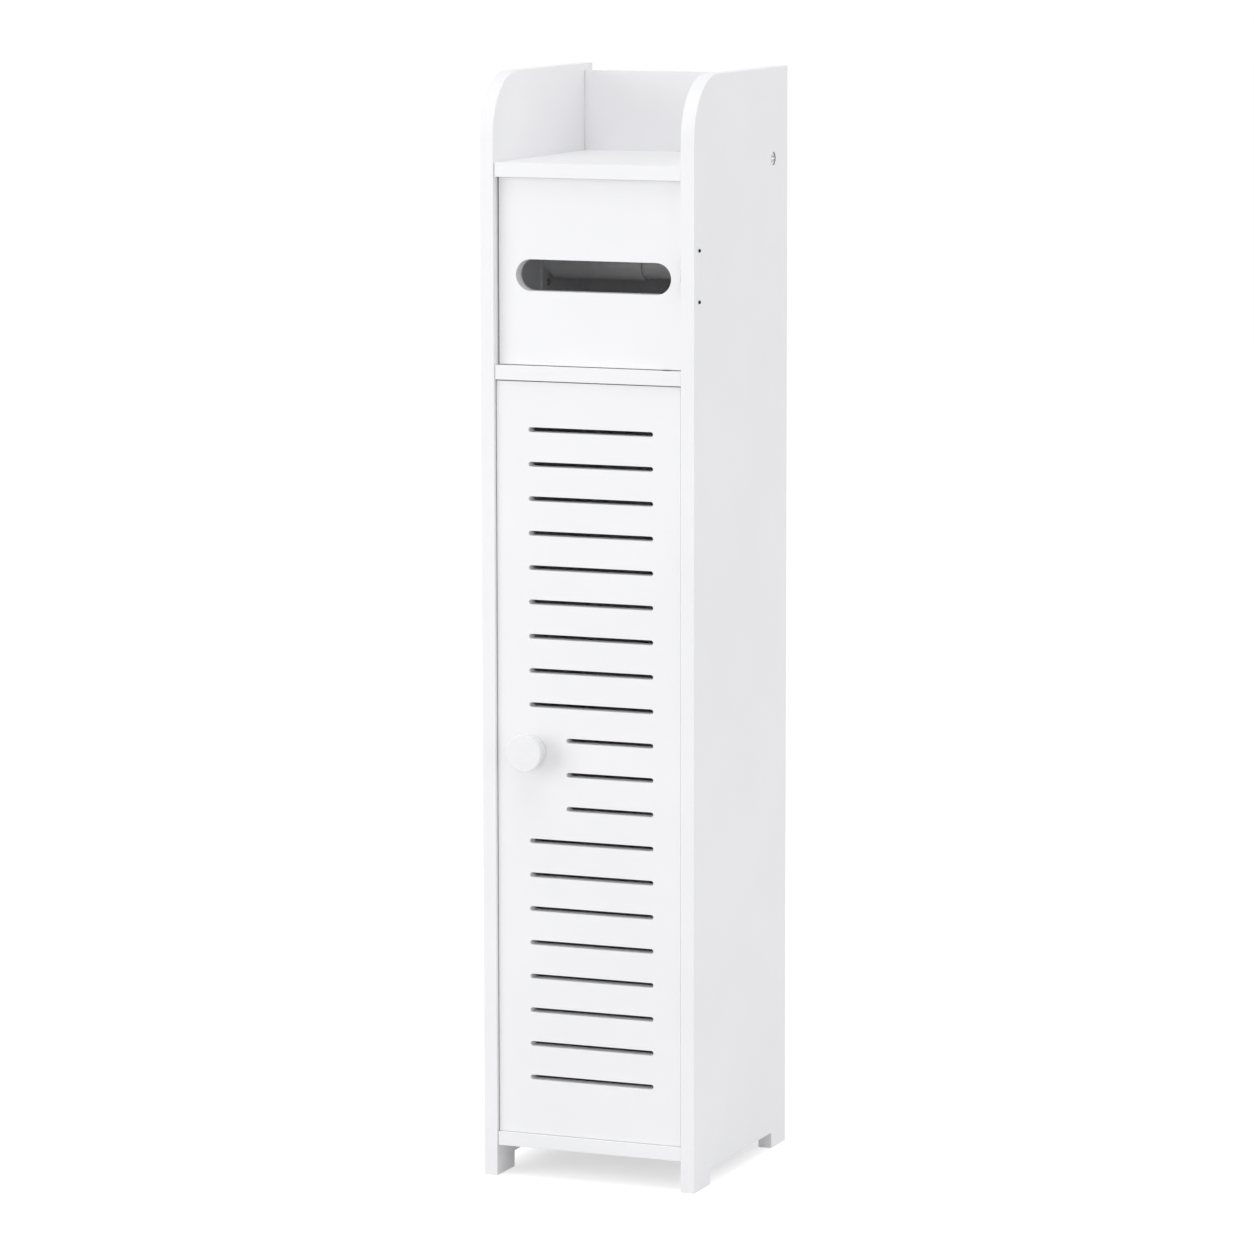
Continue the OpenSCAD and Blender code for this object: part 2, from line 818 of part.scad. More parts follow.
// y of a catch's front face and of its screws, for the upper or lower catch
function catch_front_y(upper) =
    (upper ? roll_recess : storage_recess) + board_t + strike_t + strike_gap + magnet_out;
function catch_screw_y(upper) = catch_front_y(upper) + catch_d / 2;

module catch_housing(upper) {
    z1 = upper ? top_shelf_z : divider_z;
    y0 = catch_front_y(upper);
    difference() {
        block([catch_x - catch_w / 2, y0, z1 - catch_h], [catch_x + catch_w / 2, y0 + catch_d, z1]);
        magnet_block(upper, fit_gap, over);
        for (s = [-1, 1]) {
            x = catch_x + s * catch_screw_x;
            bar_z(z1 - catch_h - over, z1 + over, x, catch_screw_y(upper), catch_screw_r + fit_gap);
            bar_z(z1 - catch_h - over, z1 - catch_floor_t, x, catch_screw_y(upper),
                  catch_head_r + 2 * fit_gap);
        }
    }
}

// The magnet with its pole faces, grown by a clearance for its pocket
module magnet_block(upper, grow, past) {
    z1 = upper ? top_shelf_z : divider_z;
    y0 = catch_front_y(upper);
    mid_z = z1 - catch_h / 2;
    block([catch_x - magnet_w / 2 - grow, y0 - magnet_out - past, mid_z - magnet_h / 2 - grow],
          [catch_x + magnet_w / 2 + grow, y0 - magnet_out + magnet_d, mid_z + magnet_h / 2 + grow]);
}

module roll_catch() {
    color(plastic_white) in_place() catch_housing(true);
}

module storage_catch() {
    color(plastic_white) in_place() catch_housing(false);
}

module catch_magnets() {
    color(dark_steel) in_place() {
        magnet_block(true, 0, 0);
        magnet_block(false, 0, 0);
    }
}

module catch_screws() {
    color(steel_grey) in_place()
        for (upper = [true, false], s = [-1, 1]) {
            z1 = upper ? top_shelf_z : divider_z;
            x = catch_x + s * catch_screw_x;
            bar_z(z1 - catch_floor_t, z1 + catch_screw_up, x, catch_screw_y(upper), catch_screw_r);
            bar_z(z1 - catch_floor_t - catch_screw_r, z1 - catch_floor_t, x,
                  catch_screw_y(upper), catch_head_r);
        }
}

// Blind holes in a door's rear face for the screws of its strike plate
module strike_pilot_holes(back_y, z) {
    for (s = [-1, 1])
        bar_y(back_y - strike_screw_in - end_play, back_y + over,
              catch_x + s * strike_screw_x, z, strike_screw_r + fit_gap);
}

module strike_plate(back_y, z) {
    difference() {
        block([catch_x - strike_w / 2, back_y, z - strike_h / 2],
              [catch_x + strike_w / 2, back_y + strike_t, z + strike_h / 2]);
        for (s = [-1, 1])
            translate([catch_x + s * strike_screw_x, back_y, z]) rotate([-90, 0, 0])
                cylinder(h = strike_t, r1 = strike_screw_r + fit_gap,
                         r2 = strike_screw_head_r + fit_gap);
    }
}

// Screws whose countersunk heads lie in the strike plate
module strike_screws(back_y, z) {
    for (s = [-1, 1]) {
        x = catch_x + s * strike_screw_x;
        bar_y(back_y - strike_screw_in, back_y, x, z, strike_screw_r);
        translate([x, back_y, z]) rotate([-90, 0, 0])
            cylinder(h = strike_t, r1 = strike_screw_r, r2 = strike_screw_head_r);
    }
}

module roll_strike_plate() {
    color(steel_grey) in_place()
        strike_plate(roll_recess + board_t, top_shelf_z - strike_below);
}

module roll_strike_screws() {
    color(steel_grey) in_place()
        strike_screws(roll_recess + board_t, top_shelf_z - strike_below);
}

module storage_strike_plate() {
    color(steel_grey) in_place()
        strike_plate(storage_recess + board_t, divider_z - strike_below);
}

module storage_strike_screws() {
    color(steel_grey) in_place()
        strike_screws(storage_recess + board_t, divider_z - strike_below);
}

// ---- roller and its sockets ----

module roller_socket() {
    face_x = inner_x - socket_out;
    difference() {
        union() {
            block([inner_x - socket_plate_t, roller_y - socket_plate_w / 2,
                   roller_z - socket_plate_h / 2],
                  [inner_x, roller_y + socket_plate_w / 2, roller_z + socket_plate_h / 2]);
            bar_x(face_x, inner_x, roller_y, roller_z, socket_boss_r);
        }
        bar_x(face_x - over, face_x + socket_bore_deep, roller_y, roller_z,
              socket_pin_r + fit_gap);
        for (s = [-1, 1])
            bar_x(face_x, inner_x + over, roller_y, roller_z + s * socket_screw_z,
                  socket_screw_r + fit_gap);
    }
}

module roller_socket_left() {
    color(plastic_white) in_place() mirror([1, 0, 0]) roller_socket();
}

module roller_socket_right() {
    color(plastic_white) in_place() roller_socket();
}

module socket_screws() {
    head_x = inner_x - socket_plate_t;
    color(steel_grey) in_place() both_sides()
        for (s = [-1, 1])
            translate([0, roller_y, roller_z + s * socket_screw_z]) {
                bar_x(head_x, inner_x + socket_screw_in, 0, 0, socket_screw_r);
                bar_x(head_x - socket_screw_head_t, head_x, 0, 0, socket_screw_head_r);
            }
}

// The fixed half of the roller: a tube with one closed end and its end pin
module roller_barrel() {
    color(plastic_white) in_place() difference() {
        union() {
            bar_x(-roller_end_x, barrel_open_x, roller_y, roller_z, roller_d / 2);
            bar_x(-roller_end_x - socket_pin_len, -roller_end_x, roller_y, roller_z,
                  socket_pin_r);
        }
        bar_x(-roller_end_x + roller_cap_t, barrel_open_x + over, roller_y, roller_z,
              plunger_d / 2 + 2 * fit_gap);
    }
}

// The half that slides into the barrel against the spring
module roller_plunger() {
    color(plastic_white) in_place() difference() {
        union() {
            bar_x(plunger_inner_x, roller_end_x, roller_y, roller_z, plunger_d / 2);
            bar_x(roller_end_x - roller_cap_t, roller_end_x, roller_y, roller_z, roller_d / 2);
            bar_x(roller_end_x, roller_end_x + socket_pin_len, roller_y, roller_z, socket_pin_r);
        }
        bar_x(plunger_inner_x - over, roller_end_x - roller_cap_t, roller_y, roller_z,
              plunger_bore_r);
    }
}

// Helix of the roller's spring: one ring of wire points for each step
spring_x0 = -roller_end_x + roller_cap_t + spring_wire_r + spring_seat_gap;
spring_x1 = plunger_inner_x - spring_wire_r - spring_seat_gap;
spring_steps = spring_turns * rings_per_turn;
function spring_angle(i) = 360 * i / rings_per_turn;
function spring_mid(i) = [
    spring_x0 + (spring_x1 - spring_x0) * i / spring_steps,
    spring_mean_r * cos(spring_angle(i)),
    spring_mean_r * sin(spring_angle(i))
];
function wire_point(i, j) =
    let (around = 360 * j / wire_sides,
         outward = [0, cos(spring_angle(i)), sin(spring_angle(i))])
    spring_mid(i) + spring_wire_r * (cos(around) * outward + sin(around) * [1, 0, 0]);

spring_gaps = [
    for (i = [0 : spring_steps - rings_per_turn])
        norm(spring_mid(i + rings_per_turn) - spring_mid(i)) - 2 * spring_wire_r
];

module roller_spring() {
    echo(least_gap_between_spring_turns = min(spring_gaps));
    points = [for (i = [0 : spring_steps], j = [0 : wire_sides - 1]) wire_point(i, j)];
    walls = [
        for (i = [0 : spring_steps - 1], j = [0 : wire_sides - 1])
            let (k = (j + 1) % wire_sides, a = i * wire_sides, b = a + wire_sides)
            each [[a + j, b + j, b + k], [a + j, b + k, a + k]]
    ];
    first_end = [[for (j = [0 : wire_sides - 1]) j]];
    last_end = [[for (j = [wire_sides - 1 : -1 : 0]) spring_steps * wire_sides + j]];
    color(steel_grey) in_place()
        translate([0, roller_y, roller_z])
            polyhedron(points, concat(walls, first_end, last_end));
}

side_panel_left();
side_panel_right();
top_shelf();
divider_shelf();
bottom_shelf();
back_panel();
inner_shelf();
shelf_supports();
dowels();
cam_bolts();
cam_nuts();
top_shelf_screws();
back_panel_screws();
roll_hinge_panel_leaf();
roll_hinge_pin();
roll_hinge_panel_screws();
hinge_recess_strip();
roll_catch();
storage_catch();
catch_magnets();
catch_screws();
roller_socket_left();
roller_socket_right();
socket_screws();
pivot_pin_top();
pivot_pin_bottom();
roll_door();
roll_hinge_door_leaf();
roll_hinge_door_screws();
roll_strike_plate();
roll_strike_screws();
storage_door();
door_knob();
knob_screw();
pivot_bush_top();
pivot_bush_bottom();
storage_strike_plate();
storage_strike_screws();
roller_barrel();
roller_spring();
roller_plunger();
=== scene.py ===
# %% [markdown]
# # A narrow bathroom cabinet in white lacquered board
#
# The object is a tall, slim cabinet: an open tray on top, a compartment with a
# spring roller behind a small door with a long window, and a storage
# compartment behind a louvred door with a round knob. The solids come from the
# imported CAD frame, at their real size and in place. This script gives them
# eased edges, moulded and turned shapes and finishes, then a studio.
#
# Everything is in metres, +Z up, and the doors face -Y. A name that ends in
# _mm or _MM holds millimetres.

import math
from collections import namedtuple

import bmesh
import bpy
from mathutils import Matrix, Vector


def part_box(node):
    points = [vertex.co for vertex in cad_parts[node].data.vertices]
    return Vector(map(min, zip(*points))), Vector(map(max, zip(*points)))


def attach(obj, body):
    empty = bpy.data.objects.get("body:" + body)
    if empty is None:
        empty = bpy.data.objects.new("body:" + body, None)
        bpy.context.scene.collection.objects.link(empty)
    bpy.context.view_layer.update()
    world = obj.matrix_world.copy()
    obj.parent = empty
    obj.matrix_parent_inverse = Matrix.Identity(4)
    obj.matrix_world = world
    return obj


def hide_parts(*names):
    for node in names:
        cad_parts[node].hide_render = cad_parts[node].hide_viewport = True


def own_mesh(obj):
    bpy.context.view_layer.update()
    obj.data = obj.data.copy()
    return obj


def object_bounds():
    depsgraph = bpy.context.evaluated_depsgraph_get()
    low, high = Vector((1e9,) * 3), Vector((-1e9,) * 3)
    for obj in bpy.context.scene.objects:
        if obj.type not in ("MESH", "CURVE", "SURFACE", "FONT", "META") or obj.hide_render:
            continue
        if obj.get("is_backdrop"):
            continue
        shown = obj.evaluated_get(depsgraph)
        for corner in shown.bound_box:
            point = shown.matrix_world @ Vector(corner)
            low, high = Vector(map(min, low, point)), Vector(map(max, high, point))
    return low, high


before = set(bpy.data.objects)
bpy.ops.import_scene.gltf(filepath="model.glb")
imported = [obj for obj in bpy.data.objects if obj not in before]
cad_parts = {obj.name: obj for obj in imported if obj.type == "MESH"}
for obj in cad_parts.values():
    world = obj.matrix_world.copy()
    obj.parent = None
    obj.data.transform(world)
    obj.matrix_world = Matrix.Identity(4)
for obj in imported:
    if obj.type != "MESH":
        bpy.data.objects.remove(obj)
cad_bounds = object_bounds()
scene = bpy.context.scene
MM = 0.001
cad_size_mm = [round((high - low) / MM, 1) for low, high in zip(*cad_bounds)]
print("CAD nodes:", len(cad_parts), "size in mm:", cad_size_mm)

# %% [markdown]
# ## The places that the rest is measured from
#
# A cabinet maker works from the outer faces of the carcass. The right side
# panel's box gives the front edges, the outer face and the board's thickness,
# so these few values are read from the frame once.

# %% Carcass datum faces
panel_low, panel_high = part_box("side_panel_right")
front_y = panel_low.y
outer_x = panel_high.x
inner_x = panel_low.x
board_mm = (outer_x - inner_x) / MM
print("front edge y", round(front_y / MM, 1), "mm, board", round(board_mm, 1), "mm")

# %% [markdown]
# ## The camera
#
# The cabinet was photographed from about 4 m, a little above its top and to
# the right of its middle, with a long lens that keeps the uprights parallel.
# The camera looks at a point on the front plane, so its place is that point
# plus the distance back along the viewing direction. The same few lines aim
# the lamps later on.

# %% Camera at the photograph's angle
CAMERA_AZIMUTH = 22.252  # angles in degrees, from straight in front
CAMERA_ELEVATION = 7.976
CAMERA_ROLL = -0.077
CAMERA_DISTANCE = 4.0426
CAMERA_LENS_MM = 167.26
AIM_RIGHT_OF_MIDDLE = 0.02987
AIM_HEIGHT = 0.39823


def facing(target, azimuth, elevation, distance):
    """The matrix of a camera or lamp that faces a point from an angle in degrees."""
    a = math.radians(azimuth)
    e = math.radians(elevation)
    back = Vector((math.sin(a) * math.cos(e), -math.cos(a) * math.cos(e), math.sin(e)))
    turn = (-back).to_track_quat("-Z", "Y").to_matrix().to_4x4()
    return Matrix.Translation(target + distance * back) @ turn


def place_camera():
    """A long lens on the photograph's viewing direction."""
    lens = bpy.data.cameras.new("Studio camera")
    lens.lens = CAMERA_LENS_MM
    lens.clip_start = 0.1
    lens.clip_end = 200
    camera = bpy.data.objects.new("Studio camera", lens)
    scene.collection.objects.link(camera)
    aim = Vector((AIM_RIGHT_OF_MIDDLE, front_y, AIM_HEIGHT))
    level = facing(aim, CAMERA_AZIMUTH, CAMERA_ELEVATION, CAMERA_DISTANCE)
    camera.matrix_world = level @ Matrix.Rotation(math.radians(CAMERA_ROLL), 4, "Z")
    scene.camera = camera
    return camera


camera = place_camera()
print("camera at", [round(v, 3) for v in camera.matrix_world.translation])

# %% [markdown]
# ## Helpers for node trees
#
# Finishes are picked as sRGB hex values, the way a paint chart gives them,
# while shaders work in linear light, so one function converts. Another adds a
# node with its settings and links, and serves shader and geometry trees alike.
# A new material or world comes with nodes of its own, which are cleared away.


# %% Colour and node helpers
def linear(hex_colour):
    """An sRGB hex value as linear red, green, blue and alpha."""
    channels = [int(hex_colour[i:i + 2], 16) / 255 for i in (1, 3, 5)]
    return [c / 12.92 if c <= 0.04045 else ((c + 0.055) / 1.055) ** 2.4 for c in channels] + [1]


def add(tree, kind, settings=None, links=None):
    """One node: settings name its sockets or options, links name what feeds its sockets."""
    node = tree.nodes.new(kind)
    for name, value in (settings or {}).items():
        if isinstance(name, int) or name in node.inputs:
            node.inputs[name].default_value = value
        else:
            setattr(node, name, value)
    for name, source in (links or {}).items():
        tree.links.new(source, node.inputs[name])
    return node


def cleared(owner):
    """The emptied node tree of a material or a world."""
    owner.use_nodes = True
    owner.node_tree.nodes.clear()
    return owner.node_tree


print("the lacquer's white as linear:", [round(c, 3) for c in linear("#f4f4f6")])

# %% [markdown]
# ## Finishes
#
# Each material starts from what the real one is. The way a surface was made
# leaves a grain, and its colour, its shine and its relief all follow that
# grain. It is noise on Object coordinates, which here are metres in the
# cabinet's own frame, so a grain with a period of 1.5 mm has the scale
# 1 / 0.0015. Noise hardly leaves the range from 0.3 to 0.7, so that range is
# spread over the two colours and over the roughness.

# %% A finish that follows its grain
NOISE_RANGE = {"From Min": 0.3, "From Max": 0.7}
CLOUD_DETAIL = 3


def finish(name, dark, light, roughness, grain_mm, depth_mm, detail,
           spread=0.0, stretch=None, cloud_mm=None, sockets=None):
    """A material with a grain of a period and depth, drawn out by a stretch vector.

    Roughness varies by the spread, the colour follows a wider cloud where one is
    given, and sockets are further values of the shader.
    """
    material = bpy.data.materials.new(name)
    tree = cleared(material)
    place = add(tree, "ShaderNodeTexCoord").outputs["Object"]
    if stretch:
        drawn = add(tree, "ShaderNodeMapping", {"Scale": stretch}, {"Vector": place})
        place = drawn.outputs["Vector"]
    grain = add(
        tree, "ShaderNodeTexNoise",
        {"Scale": 1 / (grain_mm * MM), "Detail": detail}, {"Vector": place},
    ).outputs["Fac"]
    cloud = grain
    if cloud_mm:
        cloud = add(
            tree, "ShaderNodeTexNoise",
            {"Scale": 1 / (cloud_mm * MM), "Detail": CLOUD_DETAIL}, {"Vector": place},
        ).outputs["Fac"]
    share = add(tree, "ShaderNodeMapRange", NOISE_RANGE, {"Value": cloud})
    colour = add(
        tree, "ShaderNodeMix", {"data_type": "RGBA", 6: linear(dark), 7: linear(light)},
        {0: share.outputs["Result"]},
    )
    bump = add(tree, "ShaderNodeBump", {"Distance": depth_mm * MM}, {"Height": grain})
    shader = add(
        tree, "ShaderNodeBsdfPrincipled", {"Roughness": roughness, **(sockets or {})},
        {"Base Color": colour.outputs[2], "Normal": bump.outputs["Normal"]},
    )
    if spread:
        limits = {"To Min": roughness - spread, "To Max": roughness + spread}
        shine = add(tree, "ShaderNodeMapRange", {**NOISE_RANGE, **limits}, {"Value": grain})
        tree.links.new(shine.outputs["Result"], shader.inputs["Roughness"])
    add(tree, "ShaderNodeOutputMaterial", links={"Surface": shader.outputs["BSDF"]})
    return material


print("noise scale of a 1.5 mm grain:", round(1 / (1.5 * MM)))

# %% [markdown]
# ### Lacquered fibreboard
#
# The boards are medium-density fibreboard, sprayed white on every face. The
# lacquer dries to a satin skin with a faint orange peel about 1.5 mm across,
# and it is a little thinner over the pressed fibres, which gives the white a
# hardly visible unevenness over a hand's width. The back board is coated by a
# roller, which leaves it a trace darker and less shiny.

# %% Satin lacquer on fibreboard
LACQUER = {
    "grain_mm": 1.5,
    "depth_mm": 0.006,
    "detail": 1,
    "spread": 0.03,
    "cloud_mm": 90,
    "sockets": {"IOR": 1.49},
}
board_lacquer = finish("Satin lacquer on fibreboard", "#f3f3f5", "#f6f6f8", 0.42, **LACQUER)
back_lacquer = finish("Roller-coated back board", "#f1f1f3", "#f4f4f6", 0.5, **LACQUER)
print("board finishes:", board_lacquer.name, "and", back_lacquer.name)

# %% [markdown]
# ### Moulded plastics
#
# The knob is ABS from a polished mould, so it is smooth and slightly glossy
# and its surface only waves a little where the wall cooled. The roller is
# polystyrene and looks much the same. The sockets, bushes, catches and shelf
# supports are polypropylene from a spark-eroded mould, whose fine grain makes
# them matt. It is drawn at 0.3 mm, a little coarser than it is. The plastic
# also looks waxy, because light enters it by about 1 mm.

# %% Plastics of the knob, the roller and the fittings
MOULDED = {"detail": 2, "spread": 0.04}
WAXY = {"Subsurface Weight": 0.1, "Subsurface Scale": 1 * MM}
knob_abs = finish(
    "Polished white ABS", "#f0f0f2", "#f3f3f5", 0.35,
    grain_mm=8.0, depth_mm=0.004, sockets={"IOR": 1.5}, **MOULDED,
)
fitting_polypropylene = finish(
    "Spark-eroded white polypropylene", "#eeeeee", "#f4f4f3", 0.5,
    grain_mm=0.3, depth_mm=0.006, sockets={"IOR": 1.5, **WAXY}, **MOULDED,
)
roller_polystyrene = finish(
    "White polystyrene of the roller", "#f0f0f0", "#f5f5f5", 0.33,
    grain_mm=6.0, depth_mm=0.005, sockets={"IOR": 1.5}, **MOULDED,
)
print("plastics:", knob_abs.name, fitting_polypropylene.name, roller_polystyrene.name)

# %% [markdown]
# ### Metals
#
# Hinges, pins and screws are steel with a thin zinc coat, which is grey and
# has a soft spangle. The hinge screws that come through the side are
# blackened. The cam nuts are die-cast zinc alloy and keep the mould's dull
# skin, and the spring is drawn wire with fine lines along its length. The real
# grain of the last three is finer than a render can show, so it is drawn 0.4 to
# 0.8 mm wide.

# %% Plated, blackened, cast and drawn metal
METAL = {"detail": 3, "sockets": {"Metallic": 1}}
zinc_plate = finish(
    "Zinc plated steel", "#b4b7bb", "#c9cbce", 0.36,
    grain_mm=2.0, depth_mm=0.003, spread=0.08, **METAL,
)
black_oxide = finish(
    "Black oxide on steel", "#232325", "#323234", 0.45,
    grain_mm=0.4, depth_mm=0.004, spread=0.08, **METAL,
)
cast_alloy = finish(
    "Die-cast zinc alloy", "#8e9092", "#a3a5a7", 0.5,
    grain_mm=0.8, depth_mm=0.01, spread=0.08, **METAL,
)
drawn_wire = finish(
    "Bright drawn spring wire", "#9b9da0", "#b5b7ba", 0.3,
    grain_mm=0.5, depth_mm=0.004, spread=0.06, stretch=(0.1, 1, 1), **METAL,
)
print("metals:", zinc_plate.name, black_oxide.name, cast_alloy.name, drawn_wire.name)

# %% [markdown]
# ### Beech and ferrite
#
# Dowels are turned from beech, whose short dark flecks lie along the grain,
# here along X. The magnets are pressed ferrite, charcoal grey and matt like
# unglazed ceramic, with grains that are drawn at 0.5 mm so that they show.

# %% Beech dowels and ferrite magnets
beech = finish(
    "Bare beech", "#b98d5c", "#d9b685", 0.7,
    grain_mm=0.8, depth_mm=0.03, detail=4, stretch=(0.12, 1, 1),
)
ferrite = finish(
    "Pressed ferrite", "#252527", "#38383a", 0.6, grain_mm=0.5, depth_mm=0.01, detail=3,
)
print("small parts:", beech.name, "and", ferrite.name)

# %% [markdown]
# ## Meshes to work on
#
# A CAD node stays as it is. Where a piece needs a softer shape, its mesh is
# copied, the loose triangles are welded and the flat faces joined again, and
# the copy stands for the node on the same body.

# %% Helpers that make, weld and hand over pieces
WELD_MM = 0.002
FLAT_ANGLE = 0.5


def link_piece(name, mesh):
    """A new object at the origin, with its place in its mesh."""
    piece = bpy.data.objects.new(name, mesh)
    scene.collection.objects.link(piece)
    return piece


def welded_copy(node, name):
    """A CAD node's mesh with shared corners and whole flat faces."""
    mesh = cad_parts[node].data.copy()
    mesh.name = name
    work = bmesh.new()
    work.from_mesh(mesh)
    bmesh.ops.remove_doubles(work, verts=work.verts, dist=WELD_MM * MM)
    bmesh.ops.dissolve_limit(
        work, angle_limit=math.radians(FLAT_ANGLE), verts=work.verts, edges=work.edges,
        delimit={"NORMAL"},
    )
    work.to_mesh(mesh)
    work.free()
    return mesh


def applied(piece):
    """Bakes a piece's modifiers into its mesh."""
    depsgraph = bpy.context.evaluated_depsgraph_get()
    mesh = bpy.data.meshes.new_from_object(piece.evaluated_get(depsgraph))
    piece.modifiers.clear()
    piece.data = mesh
    return piece


def hand_over(piece, material, body, node):
    """Gives a finished piece its material and body, and hides the node that it stands for."""
    if material is not None:
        piece.data.materials.clear()
        piece.data.materials.append(material)
    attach(piece, body)
    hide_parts(node)
    return piece


print("corners closer than", WELD_MM, "mm are welded")

# %% [markdown]
# ## Eased edges
#
# No real edge is sharp. A board's edges are sanded to about half a millimetre
# before they are sprayed, and that narrow round is what catches the light
# along a white cabinet. The Bevel modifier rounds the long edges, picked by
# their length and angle through bevel weights, and leaves the rims of small
# drilled holes sharp, as they are. Weighted normals keep the big faces flat.

# %% A welded copy with rounded edges
BEND_ANGLE = 35
ROUND_STEPS = 3


def eased(node, name, width_mm, shortest_mm=1.2, width_at=None):
    """A copy of a node with edges rounded to a width, or less where width_at(midpoint) says."""
    mesh = welded_copy(node, name)
    work = bmesh.new()
    work.from_mesh(mesh)
    weights = work.edges.layers.float.new("bevel_weight_edge")
    for edge in work.edges:
        bends = edge.is_manifold and edge.calc_face_angle(0) > math.radians(BEND_ANGLE)
        if bends and edge.calc_length() > shortest_mm * MM:
            middle = (edge.verts[0].co + edge.verts[1].co) / 2
            edge[weights] = width_at(middle) / width_mm if width_at else 1.0
    work.to_mesh(mesh)
    work.free()
    mesh.shade_smooth()
    piece = link_piece(name, mesh)
    bevel = piece.modifiers.new("Eased edges", "BEVEL")
    bevel.limit_method = "WEIGHT"
    bevel.width = width_mm * MM
    bevel.segments = ROUND_STEPS
    bevel.use_clamp_overlap = False
    bevel.face_strength_mode = "FSTR_ALL"
    flat = piece.modifiers.new("Flat faces", "WEIGHTED_NORMAL")
    flat.use_face_influence = True
    return applied(piece)


print("edges that bend by more than", BEND_ANGLE, "degrees are rounded")

# %% [markdown]
# ## The boards
#
# Two side panels, three fixed shelves, the loose shelf and the back board are
# all flat stock with eased edges. The fixed shelves are rounded more where they
# meet the sides and the back, which draws the fine dark line of a butt joint.
# The right panel also has the hinge recess, whose rims are left almost sharp so
# that the strip that closes it leaves only a hair line.

# %% How far each board's edges are rounded
BOARD_EASE_MM = 0.4
SHELF_JOINT_EASE_MM = 1.0
BACK_EASE_MM = 0.25
RECESS_EASE_MM = 0.12
RECESS_MARGIN_MM = 1.0
SHELF_END_MM = 1.0
SHELF_FRONT_MM = 5.0
recess_low, recess_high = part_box("hinge_recess_strip")


def panel_round(point):
    """The right panel's round: less near the hinge recess."""
    margin = RECESS_MARGIN_MM * MM
    in_y = recess_low.y - margin < point.y < recess_high.y + margin
    in_z = recess_low.z - margin < point.z < recess_high.z + margin
    return RECESS_EASE_MM if in_y and in_z else BOARD_EASE_MM


def shelf_round(point):
    """A fixed shelf's round: less along its front, away from its ends."""
    between_ends = abs(point.x) < inner_x - SHELF_END_MM * MM
    in_front = point.y < front_y + SHELF_FRONT_MM * MM
    return BOARD_EASE_MM if between_ends and in_front else SHELF_JOINT_EASE_MM


recess_height_mm = (recess_high.z - recess_low.z) / MM
print("hinge recess:", round(recess_height_mm, 1), "mm high")

# %% Ease and finish every board
BOARDS = [
    # node, piece, finish, widest round in mm, the round at a point
    ("side_panel_left", "side_panel_left_board", board_lacquer, BOARD_EASE_MM, None),
    ("side_panel_right", "side_panel_right_board", board_lacquer, BOARD_EASE_MM, panel_round),
    ("top_shelf", "top_shelf_board", board_lacquer, SHELF_JOINT_EASE_MM, shelf_round),
    ("divider_shelf", "divider_shelf_board", board_lacquer, SHELF_JOINT_EASE_MM, shelf_round),
    ("bottom_shelf", "bottom_shelf_board", board_lacquer, SHELF_JOINT_EASE_MM, shelf_round),
    ("inner_shelf", "inner_shelf_board", board_lacquer, BOARD_EASE_MM, None),
    ("back_panel", "back_board", back_lacquer, BACK_EASE_MM, None),
    ("hinge_recess_strip", "recess_strip", board_lacquer, RECESS_EASE_MM, None),
]
for node, name, lacquer, width_mm, width_at in BOARDS:
    board = eased(node, name, width_mm, width_at=width_at)
    hand_over(board, lacquer, "cabinet", node)
    print(name, len(board.data.polygons), "faces")

# %% [markdown]
# ## The two doors
#
# The louvres are slots milled through the storage door with a round cutter,
# one step apart, and the rows beside the knob are shorter. That is a rule, so
# Geometry Nodes make it: a line of points carries a cutter on each, and one
# boolean takes them all out of the board. The cutter flares where it meets a
# face, which gives every slot the same eased lip. It is built ring by ring in
# a bmesh, Blender's mesh for editing. The small door's window is the same cut
# with a single row and a larger cutter.


# %% Helpers that run a geometry tree once
def new_tree(name, inputs):
    """A Geometry Nodes tree with named inputs and one geometry output."""
    tree = bpy.data.node_groups.new(name, "GeometryNodeTree")
    sockets = tree.interface
    for label, kind in inputs.items():
        sockets.new_socket(name=label, in_out="INPUT", socket_type="NodeSocket" + kind)
    sockets.new_socket(name="Geometry", in_out="OUTPUT", socket_type="NodeSocketGeometry")
    return tree, add(tree, "NodeGroupInput").outputs


def finish_tree(tree, geometry, material):
    """Ends a tree in real geometry with its material."""
    real = add(tree, "GeometryNodeRealizeInstances", links={"Geometry": geometry})
    painted = add(
        tree, "GeometryNodeSetMaterial",
        links={"Geometry": real.outputs["Geometry"], "Material": material},
    )
    add(tree, "NodeGroupOutput", links={"Geometry": painted.outputs["Geometry"]})
    print(tree.name, "tree:", len(tree.nodes), "nodes")


def grown(name, tree, values, start_mesh):
    """Runs a tree on a mesh and keeps the result as a plain mesh."""
    host = link_piece(name, start_mesh)
    modifier = host.modifiers.new(tree.name, "NODES")
    modifier.node_group = tree
    for item in tree.interface.items_tree:
        if item.in_out == "INPUT" and item.name in values:
            modifier[item.identifier] = values[item.name]
    return applied(host)


def tool_object(name, mesh):
    """A shape that a tree or a boolean reads and that is never shown."""
    tool = link_piece(name, mesh)
    tool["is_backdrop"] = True
    tool.hide_render = True
    return tool


# %% The cutter of one slot
SLOT_LIP_MM = 0.25
LIP_MIDDLE_SHARE = 0.3
CUTTER_PAST_MM = 1.0


